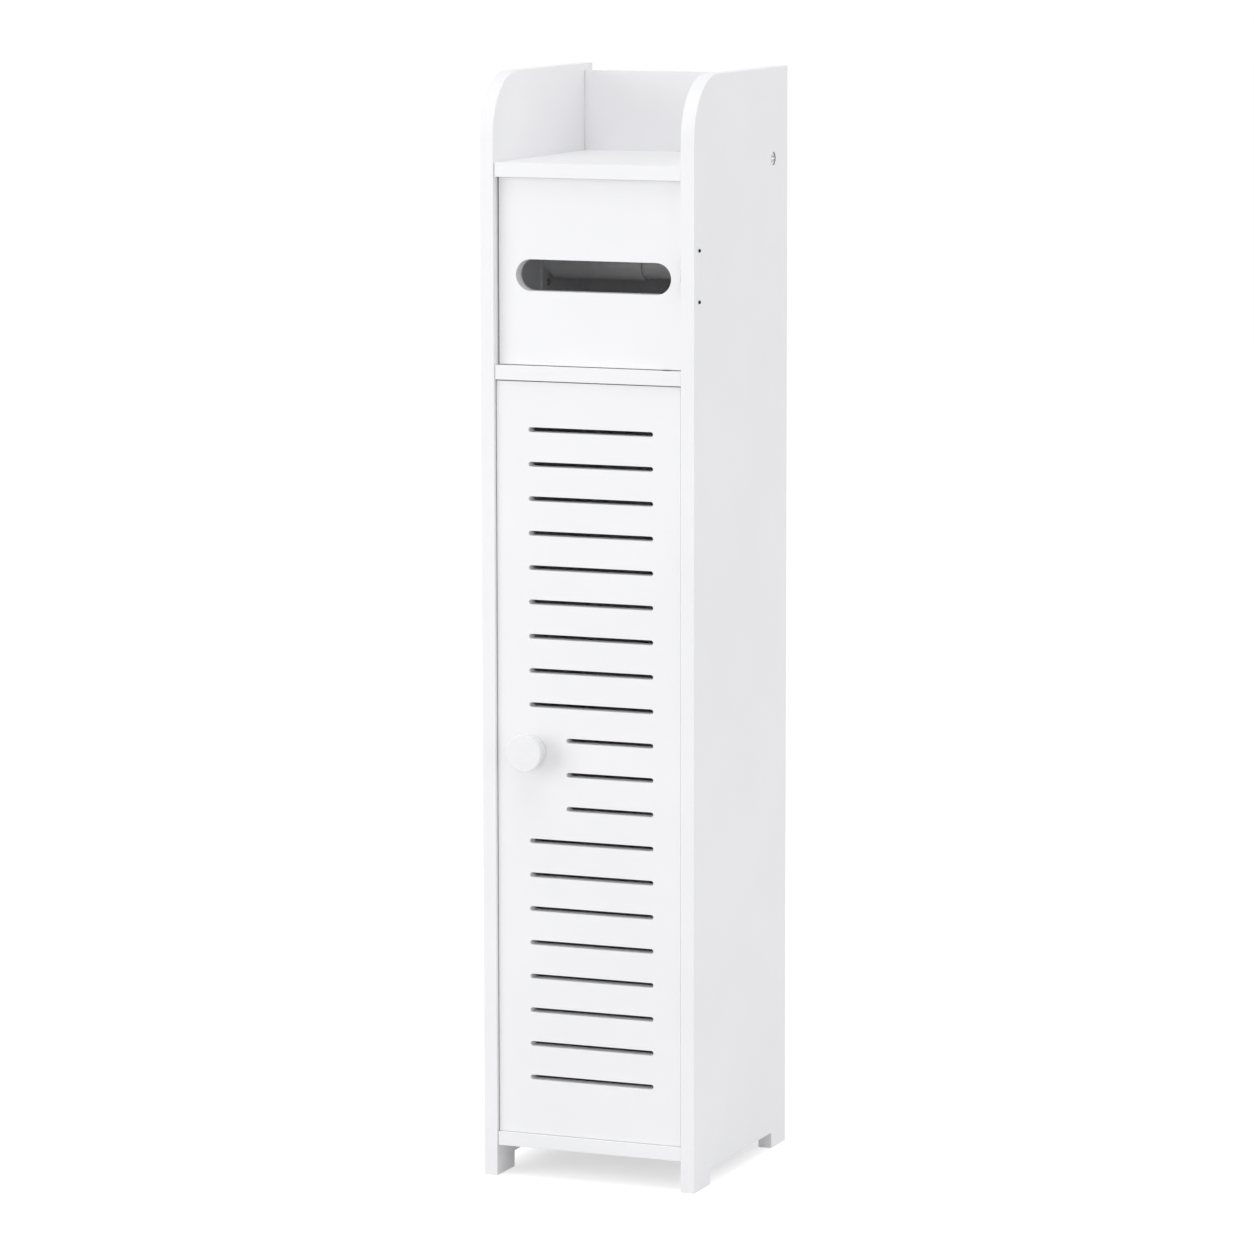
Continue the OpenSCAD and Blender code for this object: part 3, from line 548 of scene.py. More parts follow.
def stadium(length, height, grow, end_steps):
    """Corners of a slot's outline in X and Z, its round ends grown by a distance."""
    radius = height / 2
    reach = length / 2 - radius
    corners = []
    for side, start in ((1, -90), (-1, 90)):
        for step in range(end_steps + 1):
            angle = math.radians(start + 180 * step / end_steps)
            x = side * reach + (radius + grow) * math.cos(angle)
            corners.append((x, (radius + grow) * math.sin(angle)))
    return corners


def mesh_from(work, name):
    """A new mesh from a bmesh, which is freed."""
    mesh = bpy.data.meshes.new(name)
    work.to_mesh(mesh)
    work.free()
    return mesh


def stitch(work, rings):
    """Joins each ring of corners to the next with a band of faces."""
    for ring, after in zip(rings, rings[1:]):
        for i, corner in enumerate(ring):
            j = (i + 1) % len(ring)
            work.faces.new((corner, ring[j], after[j], after[i]))


def slot_cutter(name, door, length_mm, height_mm, end_steps=12):
    """A closed cutter through a door, which flares by the lip at both of its faces."""
    low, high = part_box(door)
    lip = SLOT_LIP_MM * MM
    middle = LIP_MIDDLE_SHARE * lip
    flare = [(-CUTTER_PAST_MM * MM, lip), (0, lip), (middle, middle), (lip, 0)]
    stations = [(low.y + depth, grow) for depth, grow in flare]
    stations += [(high.y - depth, grow) for depth, grow in reversed(flare)]
    work = bmesh.new()
    rings = []
    for y, grow in stations:
        outline = stadium(length_mm * MM, height_mm * MM, grow, end_steps)
        rings.append([work.verts.new((x, y, z)) for x, z in outline])
    stitch(work, rings)
    work.faces.new(rings[0])
    work.faces.new(rings[-1])
    bmesh.ops.recalc_face_normals(work, faces=work.faces)
    return tool_object(name, mesh_from(work, name))


print("a slot's outline has", len(stadium(10, 2, 0, 12)), "corners")


# %% The tree that cuts rows of slots
def slot_row_tree():
    """A line of cutters, long and short, taken out of a board."""
    tree, given = new_tree("Slot rows", {
        "Board": "Geometry",
        "Long cutter": "Object",
        "Short cutter": "Object",
        "Rows": "Int",
        "Pitch": "Vector",
        "Top row": "Vector",
        "First short row": "Int",
        "Last short row": "Int",
        "Short shift": "Vector",
        "Material": "Material",
    })
    line = add(
        tree, "GeometryNodeMeshLine", {"mode": "OFFSET"},
        {"Count": given["Rows"], "Start Location": given["Top row"], "Offset": given["Pitch"]},
    )
    row = add(tree, "GeometryNodeInputIndex").outputs["Index"]
    after_first = add(
        tree, "FunctionNodeCompare", {"data_type": "INT", "operation": "GREATER_EQUAL"},
        {2: row, 3: given["First short row"]},
    )
    before_last = add(
        tree, "FunctionNodeCompare", {"data_type": "INT", "operation": "LESS_EQUAL"},
        {2: row, 3: given["Last short row"]},
    )
    is_short = add(
        tree, "FunctionNodeBooleanMath", {"operation": "AND"},
        {0: after_first.outputs["Result"], 1: before_last.outputs["Result"]},
    )
    is_long = add(tree, "FunctionNodeBooleanMath", {"operation": "NOT"}, {0: is_short.outputs[0]})
    long_cutter = add(tree, "GeometryNodeObjectInfo", links={"Object": given["Long cutter"]})
    short_cutter = add(tree, "GeometryNodeObjectInfo", links={"Object": given["Short cutter"]})
    long_rows = add(
        tree, "GeometryNodeInstanceOnPoints",
        links={
            "Points": line.outputs["Mesh"],
            "Selection": is_long.outputs[0],
            "Instance": long_cutter.outputs["Geometry"],
        },
    )
    short_points = add(
        tree, "GeometryNodeSetPosition",
        links={"Geometry": line.outputs["Mesh"], "Offset": given["Short shift"]},
    )
    short_rows = add(
        tree, "GeometryNodeInstanceOnPoints",
        links={
            "Points": short_points.outputs["Geometry"],
            "Selection": is_short.outputs[0],
            "Instance": short_cutter.outputs["Geometry"],
        },
    )
    rows = add(
        tree, "GeometryNodeJoinGeometry", links={"Geometry": long_rows.outputs["Instances"]},
    )
    tree.links.new(short_rows.outputs["Instances"], rows.inputs["Geometry"])
    cutters = add(
        tree, "GeometryNodeRealizeInstances", links={"Geometry": rows.outputs["Geometry"]},
    )
    cut = add(
        tree, "GeometryNodeMeshBoolean", {"operation": "DIFFERENCE", "solver": "EXACT"},
        {"Mesh 1": given["Board"], "Mesh 2": cutters.outputs["Geometry"]},
    )
    finish_tree(tree, cut.outputs["Mesh"], given["Material"])
    return tree


slot_rows = slot_row_tree()

# %% A door's blank, cut by the tree
DOOR_EASE_MM = 0.22


def middle_of(node):
    """The middle of a node's box."""
    low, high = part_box(node)
    return (low + high) / 2


def door_blank(door):
    """A plain board that fills a door's box, with eased edges."""
    low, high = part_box(door)
    fill = Matrix.Translation(middle_of(door)) @ Matrix.Diagonal((*(high - low), 1))
    work = bmesh.new()
    bmesh.ops.create_cube(work, size=1, matrix=fill)
    bmesh.ops.bevel(
        work, geom=work.edges[:], offset=DOOR_EASE_MM * MM, segments=ROUND_STEPS,
        affect="EDGES", profile=0.5,
    )
    return mesh_from(work, door + "_blank")


def cut_door(door, name, cutters, values):
    """A door's board less its rows of slots, on the body of its own name."""
    inputs = {"Material": board_lacquer, **cutters, **values}
    piece = grown(name, slot_rows, inputs, door_blank(door))
    for cutter in cutters.values():
        bpy.data.objects.remove(cutter)
    piece.data.shade_smooth()
    piece.modifiers.new("Flat faces", "WEIGHTED_NORMAL")
    applied(piece)
    hand_over(piece, None, door, door)
    print(name, len(piece.data.polygons), "faces")


print("doors' edges are rounded by", DOOR_EASE_MM, "mm")

# %% Mill the louvres of the storage door
LOUVRE_ROWS = 20
LOUVRE_PITCH_MM = 24.2
LOUVRE_HEIGHT_MM = 3.4
LOUVRE_LENGTH_MM = 93.5
SHORT_LOUVRE_LENGTH_MM = 65.5
FIRST_SHORT_ROW = 9
LAST_SHORT_ROW = 11
TOP_LOUVRE_HEIGHT_MM = 532.7
LOUVRE_SHIFT_MM = 1.4


def louvred_door():
    """The storage door; its short rows end with the long ones on the hinge side."""
    lengths = {"Long cutter": LOUVRE_LENGTH_MM, "Short cutter": SHORT_LOUVRE_LENGTH_MM}
    cutters = {
        label: slot_cutter(label, "storage_door", length_mm, LOUVRE_HEIGHT_MM)
        for label, length_mm in lengths.items()
    }
    cut_door("storage_door", "louvred_door", cutters, {
        "Rows": LOUVRE_ROWS,
        "Pitch": (0, 0, -LOUVRE_PITCH_MM * MM),
        "Top row": (LOUVRE_SHIFT_MM * MM, 0, TOP_LOUVRE_HEIGHT_MM * MM),
        "First short row": FIRST_SHORT_ROW,
        "Last short row": LAST_SHORT_ROW,
        "Short shift": ((LOUVRE_LENGTH_MM - SHORT_LOUVRE_LENGTH_MM) / 2 * MM, 0, 0),
    })


louvred_door()

# %% Mill the window of the small door
WINDOW_LENGTH_MM = 116.0
WINDOW_HEIGHT_MM = 22.0
WINDOW_MIDDLE_MM = 640.0
WINDOW_SHIFT_MM = 2.0
WINDOW_END_STEPS = 40


def window_door():
    """The small door with its round-ended window."""
    cutter = slot_cutter(
        "window_cutter", "roll_door", WINDOW_LENGTH_MM, WINDOW_HEIGHT_MM, WINDOW_END_STEPS,
    )
    cut_door("roll_door", "window_door", {"Long cutter": cutter}, {
        "Rows": 1,
        "Top row": (WINDOW_SHIFT_MM * MM, 0, WINDOW_MIDDLE_MM * MM),
        "First short row": 1,
    })


window_door()

# %% [markdown]
# ## The knob
#
# The knob is one ABS moulding: a round foot against the door, a waist drawn in
# like a spool's for the fingers, and a flat head with a rounded rim. Such a
# piece is turned from its half section, so a short list of radii and heights
# in millimetres, with true arcs at the corners, is swept round the axis.


# %% A turned piece from its half section
def arc(centre, radius, start, end, steps=6):
    """Points of an arc in a half section, angles in degrees."""
    angles = [math.radians(start + (end - start) * i / steps) for i in range(steps + 1)]
    x, z = centre
    return [(x + radius * math.cos(a), z + radius * math.sin(a)) for a in angles]


def turned(name, section_mm, steps, flutes=0, flute_depth_mm=0.0):
    """Sweeps a section of (radius, height) pairs round Z; its ends lie on the axis."""
    section = [(radius * MM, height * MM) for radius, height in section_mm]
    work = bmesh.new()
    first = work.verts.new((0, 0, section[0][1]))
    last = work.verts.new((0, 0, section[-1][1]))
    angles = [2 * math.pi * i / steps for i in range(steps)]
    rings = []
    for radius, height in section[1:-1]:
        ring = []
        for angle in angles:
            r = radius - flute_depth_mm * MM * (0.5 - 0.5 * math.cos(flutes * angle))
            ring.append(work.verts.new((r * math.cos(angle), r * math.sin(angle), height)))
        rings.append(ring)
    for i in range(steps):
        j = (i + 1) % steps
        work.faces.new((first, rings[0][j], rings[0][i]))
        work.faces.new((last, rings[-1][i], rings[-1][j]))
    stitch(work, rings)
    bmesh.ops.recalc_face_normals(work, faces=work.faces)
    mesh = mesh_from(work, name)
    mesh.shade_smooth()
    return mesh


print("a quarter round takes", len(arc((0, 0), 1, 0, 90)), "points")

# %% Turn the knob
KNOB_FOOT_R_MM = 11.0
KNOB_WAIST_R_MM = 7.0
KNOB_DISC_T_MM = 3.0
KNOB_WAIST_STEP_MM = 0.4
KNOB_FRONT_RIM_MM = 1.0
KNOB_REAR_RIM_MM = 0.5
KNOB_SEAT_R_MM = 10.2  # the seat is a shallow disc that keeps the foot's rim off the door
KNOB_SEAT_T_MM = 0.3
KNOB_RIM_START_MM = 0.5
KNOB_WAIST_STEPS = 16
KNOB_STEPS = 96


def knob_section(head_r, length):
    """Half section of the knob in mm, from its seat on the door to the front of its head."""
    rim, rear_rim = KNOB_FRONT_RIM_MM, KNOB_REAR_RIM_MM
    half_waist = length / 2 - KNOB_DISC_T_MM
    drawn_in = KNOB_FOOT_R_MM - KNOB_WAIST_STEP_MM - KNOB_WAIST_R_MM
    waist_r = (half_waist ** 2 + drawn_in ** 2) / (2 * drawn_in)
    swing = math.degrees(math.asin(half_waist / waist_r))
    waist_middle = (KNOB_WAIST_R_MM + waist_r, length / 2)
    section = [(0, 0), (KNOB_SEAT_R_MM, 0), (KNOB_SEAT_R_MM, KNOB_SEAT_T_MM)]
    section += [(KNOB_FOOT_R_MM, KNOB_RIM_START_MM)]
    section += arc((KNOB_FOOT_R_MM - rim, KNOB_DISC_T_MM - rim), rim, 0, 75)
    section += arc(waist_middle, waist_r, 180 + swing, 180 - swing, KNOB_WAIST_STEPS)
    section += arc((head_r - rear_rim, length - KNOB_DISC_T_MM + rear_rim), rear_rim, 270, 360)
    section += arc((head_r - rim, length - rim), rim, 0, 90)
    return section + [(0, length)]


def knob():
    """The door knob, with its foot on the door's face."""
    low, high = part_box("door_knob")
    middle = middle_of("door_knob")
    section = knob_section((high.x - low.x) / 2 / MM, (high.y - low.y) / MM)
    mesh = turned("knob", section, KNOB_STEPS)
    seat = Matrix.Translation((middle.x, high.y, middle.z))
    mesh.transform(seat @ Matrix.Rotation(math.pi / 2, 4, "X"))
    piece = link_piece("knob", mesh)
    piece.modifiers.new("Flat faces", "WEIGHTED_NORMAL")
    applied(piece)
    return hand_over(piece, knob_abs, "storage_door", "door_knob")


print("knob:", len(knob().data.polygons), "faces")

# %% [markdown]
# ## Hardware on points
#
# Screws, cam nuts and dowels are the same piece in several places, each
# pointing its own way. One tree puts a template on every point of a small
# cloud and turns its Z axis to the direction stored on the point.


# %% The tree that places fittings
def fitting_tree():
    """A template on every point, turned to the point's aim."""
    tree, given = new_tree("Fittings", {
        "Points": "Geometry",
        "Fitting": "Object",
        "Material": "Material",
    })
    template = add(tree, "GeometryNodeObjectInfo", links={"Object": given["Fitting"]})
    aim = add(
        tree, "GeometryNodeInputNamedAttribute", {"data_type": "FLOAT_VECTOR", "Name": "aim"},
    )
    turn = add(
        tree, "FunctionNodeAlignRotationToVector", {"axis": "Z"},
        {"Vector": aim.outputs["Attribute"]},
    )
    placed = add(
        tree, "GeometryNodeInstanceOnPoints",
        links={
            "Points": given["Points"],
            "Instance": template.outputs["Geometry"],
            "Rotation": turn.outputs["Rotation"],
        },
    )
    finish_tree(tree, placed.outputs["Instances"], given["Material"])
    return tree


fittings = fitting_tree()


def fitting_set(node, body, material, template, places):
    """A template at every (position, direction), as one mesh that stands for a node."""
    name = node + "_set"
    cloud = bpy.data.meshes.new(name)
    cloud.from_pydata([position for position, _ in places], [], [])
    aims = cloud.attributes.new("aim", "FLOAT_VECTOR", "POINT")
    for i, (_, direction) in enumerate(places):
        aims.data[i].vector = direction
    tool = tool_object(name + "_template", template)
    piece = grown(name, fittings, {"Fitting": tool, "Material": material}, cloud)
    bpy.data.objects.remove(tool)
    hand_over(piece, None, body, node)
    print(node, len(places), "places,", len(piece.data.polygons), "faces")


# %% [markdown]
# ### Screws
#
# A screw is a turned shank with a rolled thread, a head, and a cross pressed
# into the head. One half section serves them all: a countersunk head widens
# from the shank to a thin rim, and a pan head is a disc with a domed edge. The
# thread is drawn as closed rings, because a helix this fine looks the same.
# The cross is cut by a Boolean modifier, whose cutter is two tapered blocks
# that cross each other.

# %% Shapes pressed into a head
CROSS_ARM_SHARE = 0.58  # shares of the head's radius
CROSS_HALF_WIDTH_SHARE = 0.13
CROSS_DEPTH_SHARE = 0.5
CROSS_TIP_LENGTH_SHARE = 0.55  # shares of the cross at its mouth
CROSS_TIP_WIDTH_SHARE = 0.8


def carved(mesh, tool_mesh, crosses_itself=False):
    """A mesh less a tool's shape."""
    piece = link_piece(mesh.name, mesh)
    tool = tool_object(tool_mesh.name, tool_mesh)
    cut = piece.modifiers.new("Cut", "BOOLEAN")
    cut.object = tool
    cut.solver = "EXACT"
    cut.use_self = crosses_itself
    applied(piece)
    result = piece.data
    bpy.data.objects.remove(piece)
    bpy.data.objects.remove(tool)
    return result


def crossed(mesh, head_r_mm, arm_share=CROSS_ARM_SHARE, depth_share=CROSS_DEPTH_SHARE,
            floor_mm=0.0):
    """Presses a tapered cross into a head, down from the height of its floor."""
    head_r = head_r_mm * MM
    floor = floor_mm * MM
    arm = arm_share * head_r
    half = CROSS_HALF_WIDTH_SHARE * head_r
    deep = depth_share * head_r
    mouth = [(arm, half), (-arm, half), (-arm, -half), (arm, -half)]
    tip = [(CROSS_TIP_LENGTH_SHARE * x, CROSS_TIP_WIDTH_SHARE * y) for x, y in mouth]
    work = bmesh.new()
    for turn in (0, math.pi / 2):
        spin = Matrix.Rotation(turn, 3, "Z")
        upper = [work.verts.new(spin @ Vector((x, y, floor + deep / 2))) for x, y in mouth]
        lower = [work.verts.new(spin @ Vector((x, y, floor - deep))) for x, y in tip]
        work.faces.new(upper)
        work.faces.new(lower)
        stitch(work, [upper, lower])
    bmesh.ops.recalc_face_normals(work, faces=work.faces)
    return carved(mesh, mesh_from(work, "cross"), crosses_itself=True)


print("a head of 3 mm radius gets a cross", CROSS_DEPTH_SHARE * 3, "mm deep")

# %% A screw from its sizes
Screw = namedtuple("Screw", "length radius head_r head_t rim ease")  # all in mm
THREAD_ROOT_SHARE = 0.78
PITCH_SHARE = 0.9  # of the shank's radius
POINT_SHARE = 2.5  # length of the point, of the shank's radius
TIP_R_SHARE = 0.35  # radius of the point's tip, of the shank's radius
TIP_LENGTH_SHARE = 0.25  # length of the tip, of the point's length
SCREW_STEPS = 32


def thread(radius, start, pitch, turns, root_after, root_share=THREAD_ROOT_SHARE):
    """Rings of a thread in mm: a crest at every pitch and a root some way after it."""
    section = []
    for turn in range(turns):
        crest = start + turn * pitch
        section += [(radius, crest), (root_share * radius, crest + root_after)]
    return section


def shank(length, radius, head_t, pitch):
    """Half section of a threaded shank in mm, from its point up to the head."""
    point = POINT_SHARE * radius
    turns = int((length - point - head_t) / pitch)
    section = [(0, -length), (TIP_R_SHARE * radius, TIP_LENGTH_SHARE * point - length)]
    section += thread(radius, point - length, pitch, turns, pitch / 2)
    return section + [(radius, -head_t)]


def screw(name, size):
    """A screw along Z with its head's top at 0; a pan head's rim is as thick as the head."""
    section = shank(size.length, size.radius, size.head_t, PITCH_SHARE * size.radius)
    section += [(size.head_r, -size.rim)]
    section += arc((size.head_r - size.ease, -size.ease), size.ease, 0, 90)
    section += [(0, 0)]
    return crossed(turned(name, section, SCREW_STEPS), size.head_r)


print("a 20 mm shank has", len(shank(20, 2, 2, 1.8)), "rings in its half section")

# %% [markdown]
# ### Where the zinc plated screws go
#
# A set of screws stands for one CAD node, so the node's box says where the
# outermost heads are: a head's middle is one head radius in from the end of
# the box. Every place is a point with the direction that the head faces.

# %% Places of the screws on the carcass
SOCKET_PLATE_MM = 2.5
CATCH_FLOOR_MM = 2.5
CATCH_SCREW_X_MM = 10.0
SIDES = (-1, 1)
FIXED_SHELVES = ("bottom_shelf", "divider_shelf", "top_shelf")


def pairs(low, high, inset_mm):
    """Two places in from the ends of a range."""
    return low + inset_mm * MM, high - inset_mm * MM


def back_places(node, size):
    """Six behind the back board, two at each fixed shelf."""
    low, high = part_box(node)
    return [
        ((x, high.y, middle_of(shelf).z), (0, 1, 0))
        for shelf in FIXED_SHELVES for x in pairs(low.x, high.x, size.head_r)
    ]


def socket_places(node, size):
    """Four on the plates of the roller's sockets."""
    low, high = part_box(node)
    head_x = inner_x - (SOCKET_PLATE_MM + size.head_t) * MM
    return [
        ((side * head_x, middle_of(node).y, z), (-side, 0, 0))
        for side in SIDES for z in pairs(low.z, high.z, size.head_r)
    ]


def catch_places(node, size):
    """Four deep in the wells of the magnetic catches."""
    places = []
    for catch in ("roll_catch", "storage_catch"):
        middle = middle_of(catch)
        head_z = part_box(catch)[1].z - (CATCH_FLOOR_MM + size.head_t) * MM
        for side in SIDES:
            x = middle.x + side * CATCH_SCREW_X_MM * MM
            places.append(((x, middle.y, head_z), (0, 0, -1)))
    return places


shelf_z_mm = [round(middle_of(shelf).z / MM, 1) for shelf in FIXED_SHELVES]
print("middles of the fixed shelves:", shelf_z_mm, "mm up")


# %% Places of the screws on the doors
def knob_place(node, size):
    """One behind the storage door, which holds the knob."""
    middle = middle_of(node)
    return [((middle.x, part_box(node)[1].y, middle.z), (0, 1, 0))]


def strike_places(node, size):
    """Two that are flush with a strike plate."""
    low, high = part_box(node)
    z = middle_of(node).z
    return [((x, high.y, z), (0, 1, 0)) for x in pairs(low.x, high.x, size.head_r)]


def leaf_places(node, size):
    """Two from the door leaf into the door's edge."""
    low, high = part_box(node)
    y = middle_of(node).y
    return [((high.x, y, z), (1, 0, 0)) for z in pairs(low.z, high.z, size.head_r)]


print("the knob's screw is", round(middle_of("knob_screw").z / MM, 1), "mm up")

# %% Make each set on the body that it holds
STRIKE_SCREW = Screw(7.0, 1.1, 2.0, 1.0, 0.1, 0.08)
HINGE_SCREW = Screw(14.8, 1.2, 1.9, 0.8, 0.1, 0.08)
ZINC_SCREWS = [
    # node, body, places, sizes in mm
    ("back_panel_screws", "cabinet", back_places, Screw(21.6, 1.5, 3.0, 1.6, 1.6, 1.1)),
    ("socket_screws", "cabinet", socket_places, Screw(10.8, 1.3, 2.6, 1.3, 1.3, 0.9)),
    ("catch_screws", "cabinet", catch_places, Screw(11.8, 1.3, 2.6, 1.3, 1.3, 0.9)),
    ("knob_screw", "storage_door", knob_place, Screw(20.2, 2.0, 4.0, 2.2, 2.2, 1.5)),
    ("roll_strike_screws", "roll_door", strike_places, STRIKE_SCREW),
    ("storage_strike_screws", "storage_door", strike_places, STRIKE_SCREW),
    ("roll_hinge_door_screws", "roll_door", leaf_places, HINGE_SCREW),
]
for node, body, places_of, size in ZINC_SCREWS:
    template = screw(node + "_one", size)
    fitting_set(node, body, zinc_plate, template, places_of(node, size))

# %% [markdown]
# ### The screws that show from outside
#
# Two screws of the hinge are a little too long and come out through the side
# panel, so their ends are blunt and dark. The plated screws of the tray have a
# wide dished head that lies flush in the panel. The dish's floor is bright
# nickel, and its wall is painted dark grey as painted shade.

# %% Blackened hinge screws with blunt ends
BLUNT_TIP_R_MM = 0.6
BLUNT_CHAMFER_MM = 0.4
BLUNT_THREAD_START_MM = 1.0
BLUNT_PITCH_MM = 1.1
BLUNT_ROOT_AFTER_MM = 0.5
BLUNT_TURNS = 9


def hinge_panel_screws():
    """Two screws whose blunt ends stand out of the right side panel."""
    node = "roll_hinge_panel_screws"
    low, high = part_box(node)
    y = middle_of(node).y
    length = (high.x - low.x) / MM
    size = HINGE_SCREW
    start = BLUNT_THREAD_START_MM - length
    section = [(0, -length), (BLUNT_TIP_R_MM, -length), (size.radius, BLUNT_CHAMFER_MM - length)]
    section += thread(size.radius, start, BLUNT_PITCH_MM, BLUNT_TURNS, BLUNT_ROOT_AFTER_MM)
    section += [(size.radius, -size.head_t), (size.head_r, -size.rim)]
    section += [(size.head_r - size.ease, 0), (0, 0)]
    template = crossed(turned("hinge_panel_screw", section, SCREW_STEPS), size.head_r)
    places = [((low.x, y, z), (-1, 0, 0)) for z in pairs(low.z, high.z, size.head_r)]
    fitting_set(node, "cabinet", black_oxide, template, places)


hinge_panel_screws()

# %% Nickel plate on a dished head, with painted shade on the dish wall
DISH_RIM_MM = 0.5
DISH_DEPTH_MM = 0.85
# painted shade: the dish wall between these depths below the rim is painted dark grey
PAINTED_SHADE_FROM_MM = 0.12  # depths below the head's rim between which the wall is dark
PAINTED_SHADE_TO_MM = DISH_DEPTH_MM - 0.15


def nickel_with_painted_shade():
    """Nickel plate with painted shade: dark grey on the wall of the head's dish."""
    material = finish(
        "Nickel plate with a dark dish wall", "#dadada", "#e6e6e6", 0.26,
        grain_mm=1.0, depth_mm=0.002, spread=0.06, **METAL,
    )
    tree = material.node_tree
    shader = tree.nodes["Principled BSDF"]
    plated = shader.inputs["Base Color"].links[0].from_node
    grain_share = plated.inputs[0].links[0].from_socket
    # the dark grey of the painted shade on the dish wall
    painted_shade_colour = add(
        tree, "ShaderNodeMix",
        {"data_type": "RGBA", 6: linear("#2c2c2e"), 7: linear("#424244")}, {0: grain_share},
    )
    place = add(tree, "ShaderNodeTexCoord").outputs["Object"]
    across = add(tree, "ShaderNodeSeparateXYZ", links={"Vector": place}).outputs["X"]
    out = add(tree, "ShaderNodeMath", {"operation": "ABSOLUTE"}, {0: across}).outputs[0]
    above_floor = add(
        tree, "ShaderNodeMath",
        {"operation": "GREATER_THAN", 1: outer_x - PAINTED_SHADE_TO_MM * MM}, {0: out},
    )
    below_rim = add(
        tree, "ShaderNodeMath",
        {"operation": "LESS_THAN", 1: outer_x - PAINTED_SHADE_FROM_MM * MM}, {0: out},
    )
    # 1 on the dish wall, where the painted shade replaces the plate's colour
    painted_shade_mask = add(
        tree, "ShaderNodeMath", {"operation": "MULTIPLY"},
        {0: above_floor.outputs[0], 1: below_rim.outputs[0]},
    )
    plate_and_painted_shade = add(
        tree, "ShaderNodeMix", {"data_type": "RGBA"},
        {0: painted_shade_mask.outputs[0], 6: plated.outputs[2], 7: painted_shade_colour.outputs[2]},
    )
    tree.links.new(plate_and_painted_shade.outputs[2], shader.inputs["Base Color"])
    return material


nickel = nickel_with_painted_shade()
print("tray screws' finish:", nickel.name)

# %% Dished screws of the tray
TRAY_SCREW_LENGTH_MM = 40.0
TRAY_SCREW_R_MM = 1.8
TRAY_SCREW_HEAD_T_MM = 3.2
TRAY_SCREW_EDGE_MM = 0.5
TRAY_SCREW_PITCH_MM = 1.6
DISH_SLOPE_MM = 0.2
DISH_STEPS = 64


def tray_screws():
    """Two screws with dished heads, flush with the outer faces of the side panels."""
    node = "top_shelf_screws"
    low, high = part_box(node)
    middle = middle_of(node)
    head_r = (high.y - low.y) / 2 / MM
    dish_r = head_r - DISH_RIM_MM
    outer_round, inner_round, fillet = 0.15, 0.1, 0.3
    section = shank(
        TRAY_SCREW_LENGTH_MM, TRAY_SCREW_R_MM, TRAY_SCREW_HEAD_T_MM, TRAY_SCREW_PITCH_MM,
    )
    section += [(head_r, -TRAY_SCREW_EDGE_MM)]
    section += arc((head_r - outer_round, -outer_round), outer_round, 0, 90)
    section += arc((dish_r + inner_round, -inner_round), inner_round, 90, 180)
    section += arc((dish_r - DISH_SLOPE_MM - fillet, fillet - DISH_DEPTH_MM), fillet, 0, -90)
    section += [(0, -DISH_DEPTH_MM)]
    head = turned("tray_screw", section, DISH_STEPS)
    template = crossed(head, dish_r, arm_share=0.5, depth_share=0.2, floor_mm=-DISH_DEPTH_MM)
    places = [
        ((high.x, middle.y, middle.z), (1, 0, 0)),
        ((low.x, middle.y, middle.z), (-1, 0, 0)),
    ]
    fitting_set(node, "cabinet", nickel, template, places)


tray_screws()

# %% [markdown]
# ### Cam fittings and dowels
#
# The fixed shelves are pulled to the sides by cam bolts: a bolt from the panel
# enters a round nut under the shelf, and a quarter turn with a screwdriver
# draws it tight. Fluted beech dowels keep the shelves in place. The nuts are
# die-cast with a cross slot below and a bore through the side for the bolt.

# %% Cam nuts under the fixed shelves
CAM_R_MM = 5.0
CAM_T_MM = 8.0
CAM_INSET_MM = 22.0
CAM_AXIS_MM = 5.0
CAM_REAR_CHAMFER_MM = 0.4
CAM_SLOT_CHAMFER_MM = 0.3
CAM_BORE_R_MM = 2.2
CAM_BORE_REACH_MM = 7.0
CAM_STEPS = 40
BOLT_STEPS = 24


def cam_nut():
    """A cam nut with its cross slot at height 0 and a bore across it for the bolt."""
    r, rear, slot = CAM_R_MM, CAM_REAR_CHAMFER_MM, CAM_SLOT_CHAMFER_MM
    section = [(0, -CAM_T_MM), (r - rear, -CAM_T_MM), (r, rear - CAM_T_MM)]
    section += [(r, -slot), (r - slot, 0), (0, 0)]
    disc = turned("cam_nut", section, CAM_STEPS)
    slotted = crossed(disc, CAM_R_MM, arm_share=0.8, depth_share=0.36)
    reach = CAM_BORE_REACH_MM
    pin = [(0, -reach), (CAM_BORE_R_MM, -reach), (CAM_BORE_R_MM, reach), (0, reach)]
    bore = turned("cam_bore", pin, BOLT_STEPS)
    axis = Matrix.Translation((0, 0, -CAM_AXIS_MM * MM))
    bore.transform(axis @ Matrix.Rotation(math.pi / 2, 4, "Y"))
    return carved(slotted, bore)


def cam_places():
    """(y, underside) of each cam on one side: two at a shelf, but one, in front, at the top."""
    low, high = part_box("cam_nuts")
    front, rear = pairs(low.y, high.y, CAM_R_MM)
    undersides = [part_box(shelf)[0].z for shelf in FIXED_SHELVES]
    no_cam = (rear, undersides[-1])
    return [(y, z) for z in undersides for y in (front, rear) if (y, z) != no_cam]


nut_x = inner_x - CAM_INSET_MM * MM
nut_places = [((side * nut_x, y, z), (0, 0, -1)) for side in SIDES for y, z in cam_places()]
fitting_set("cam_nuts", "cabinet", cast_alloy, cam_nut(), nut_places)

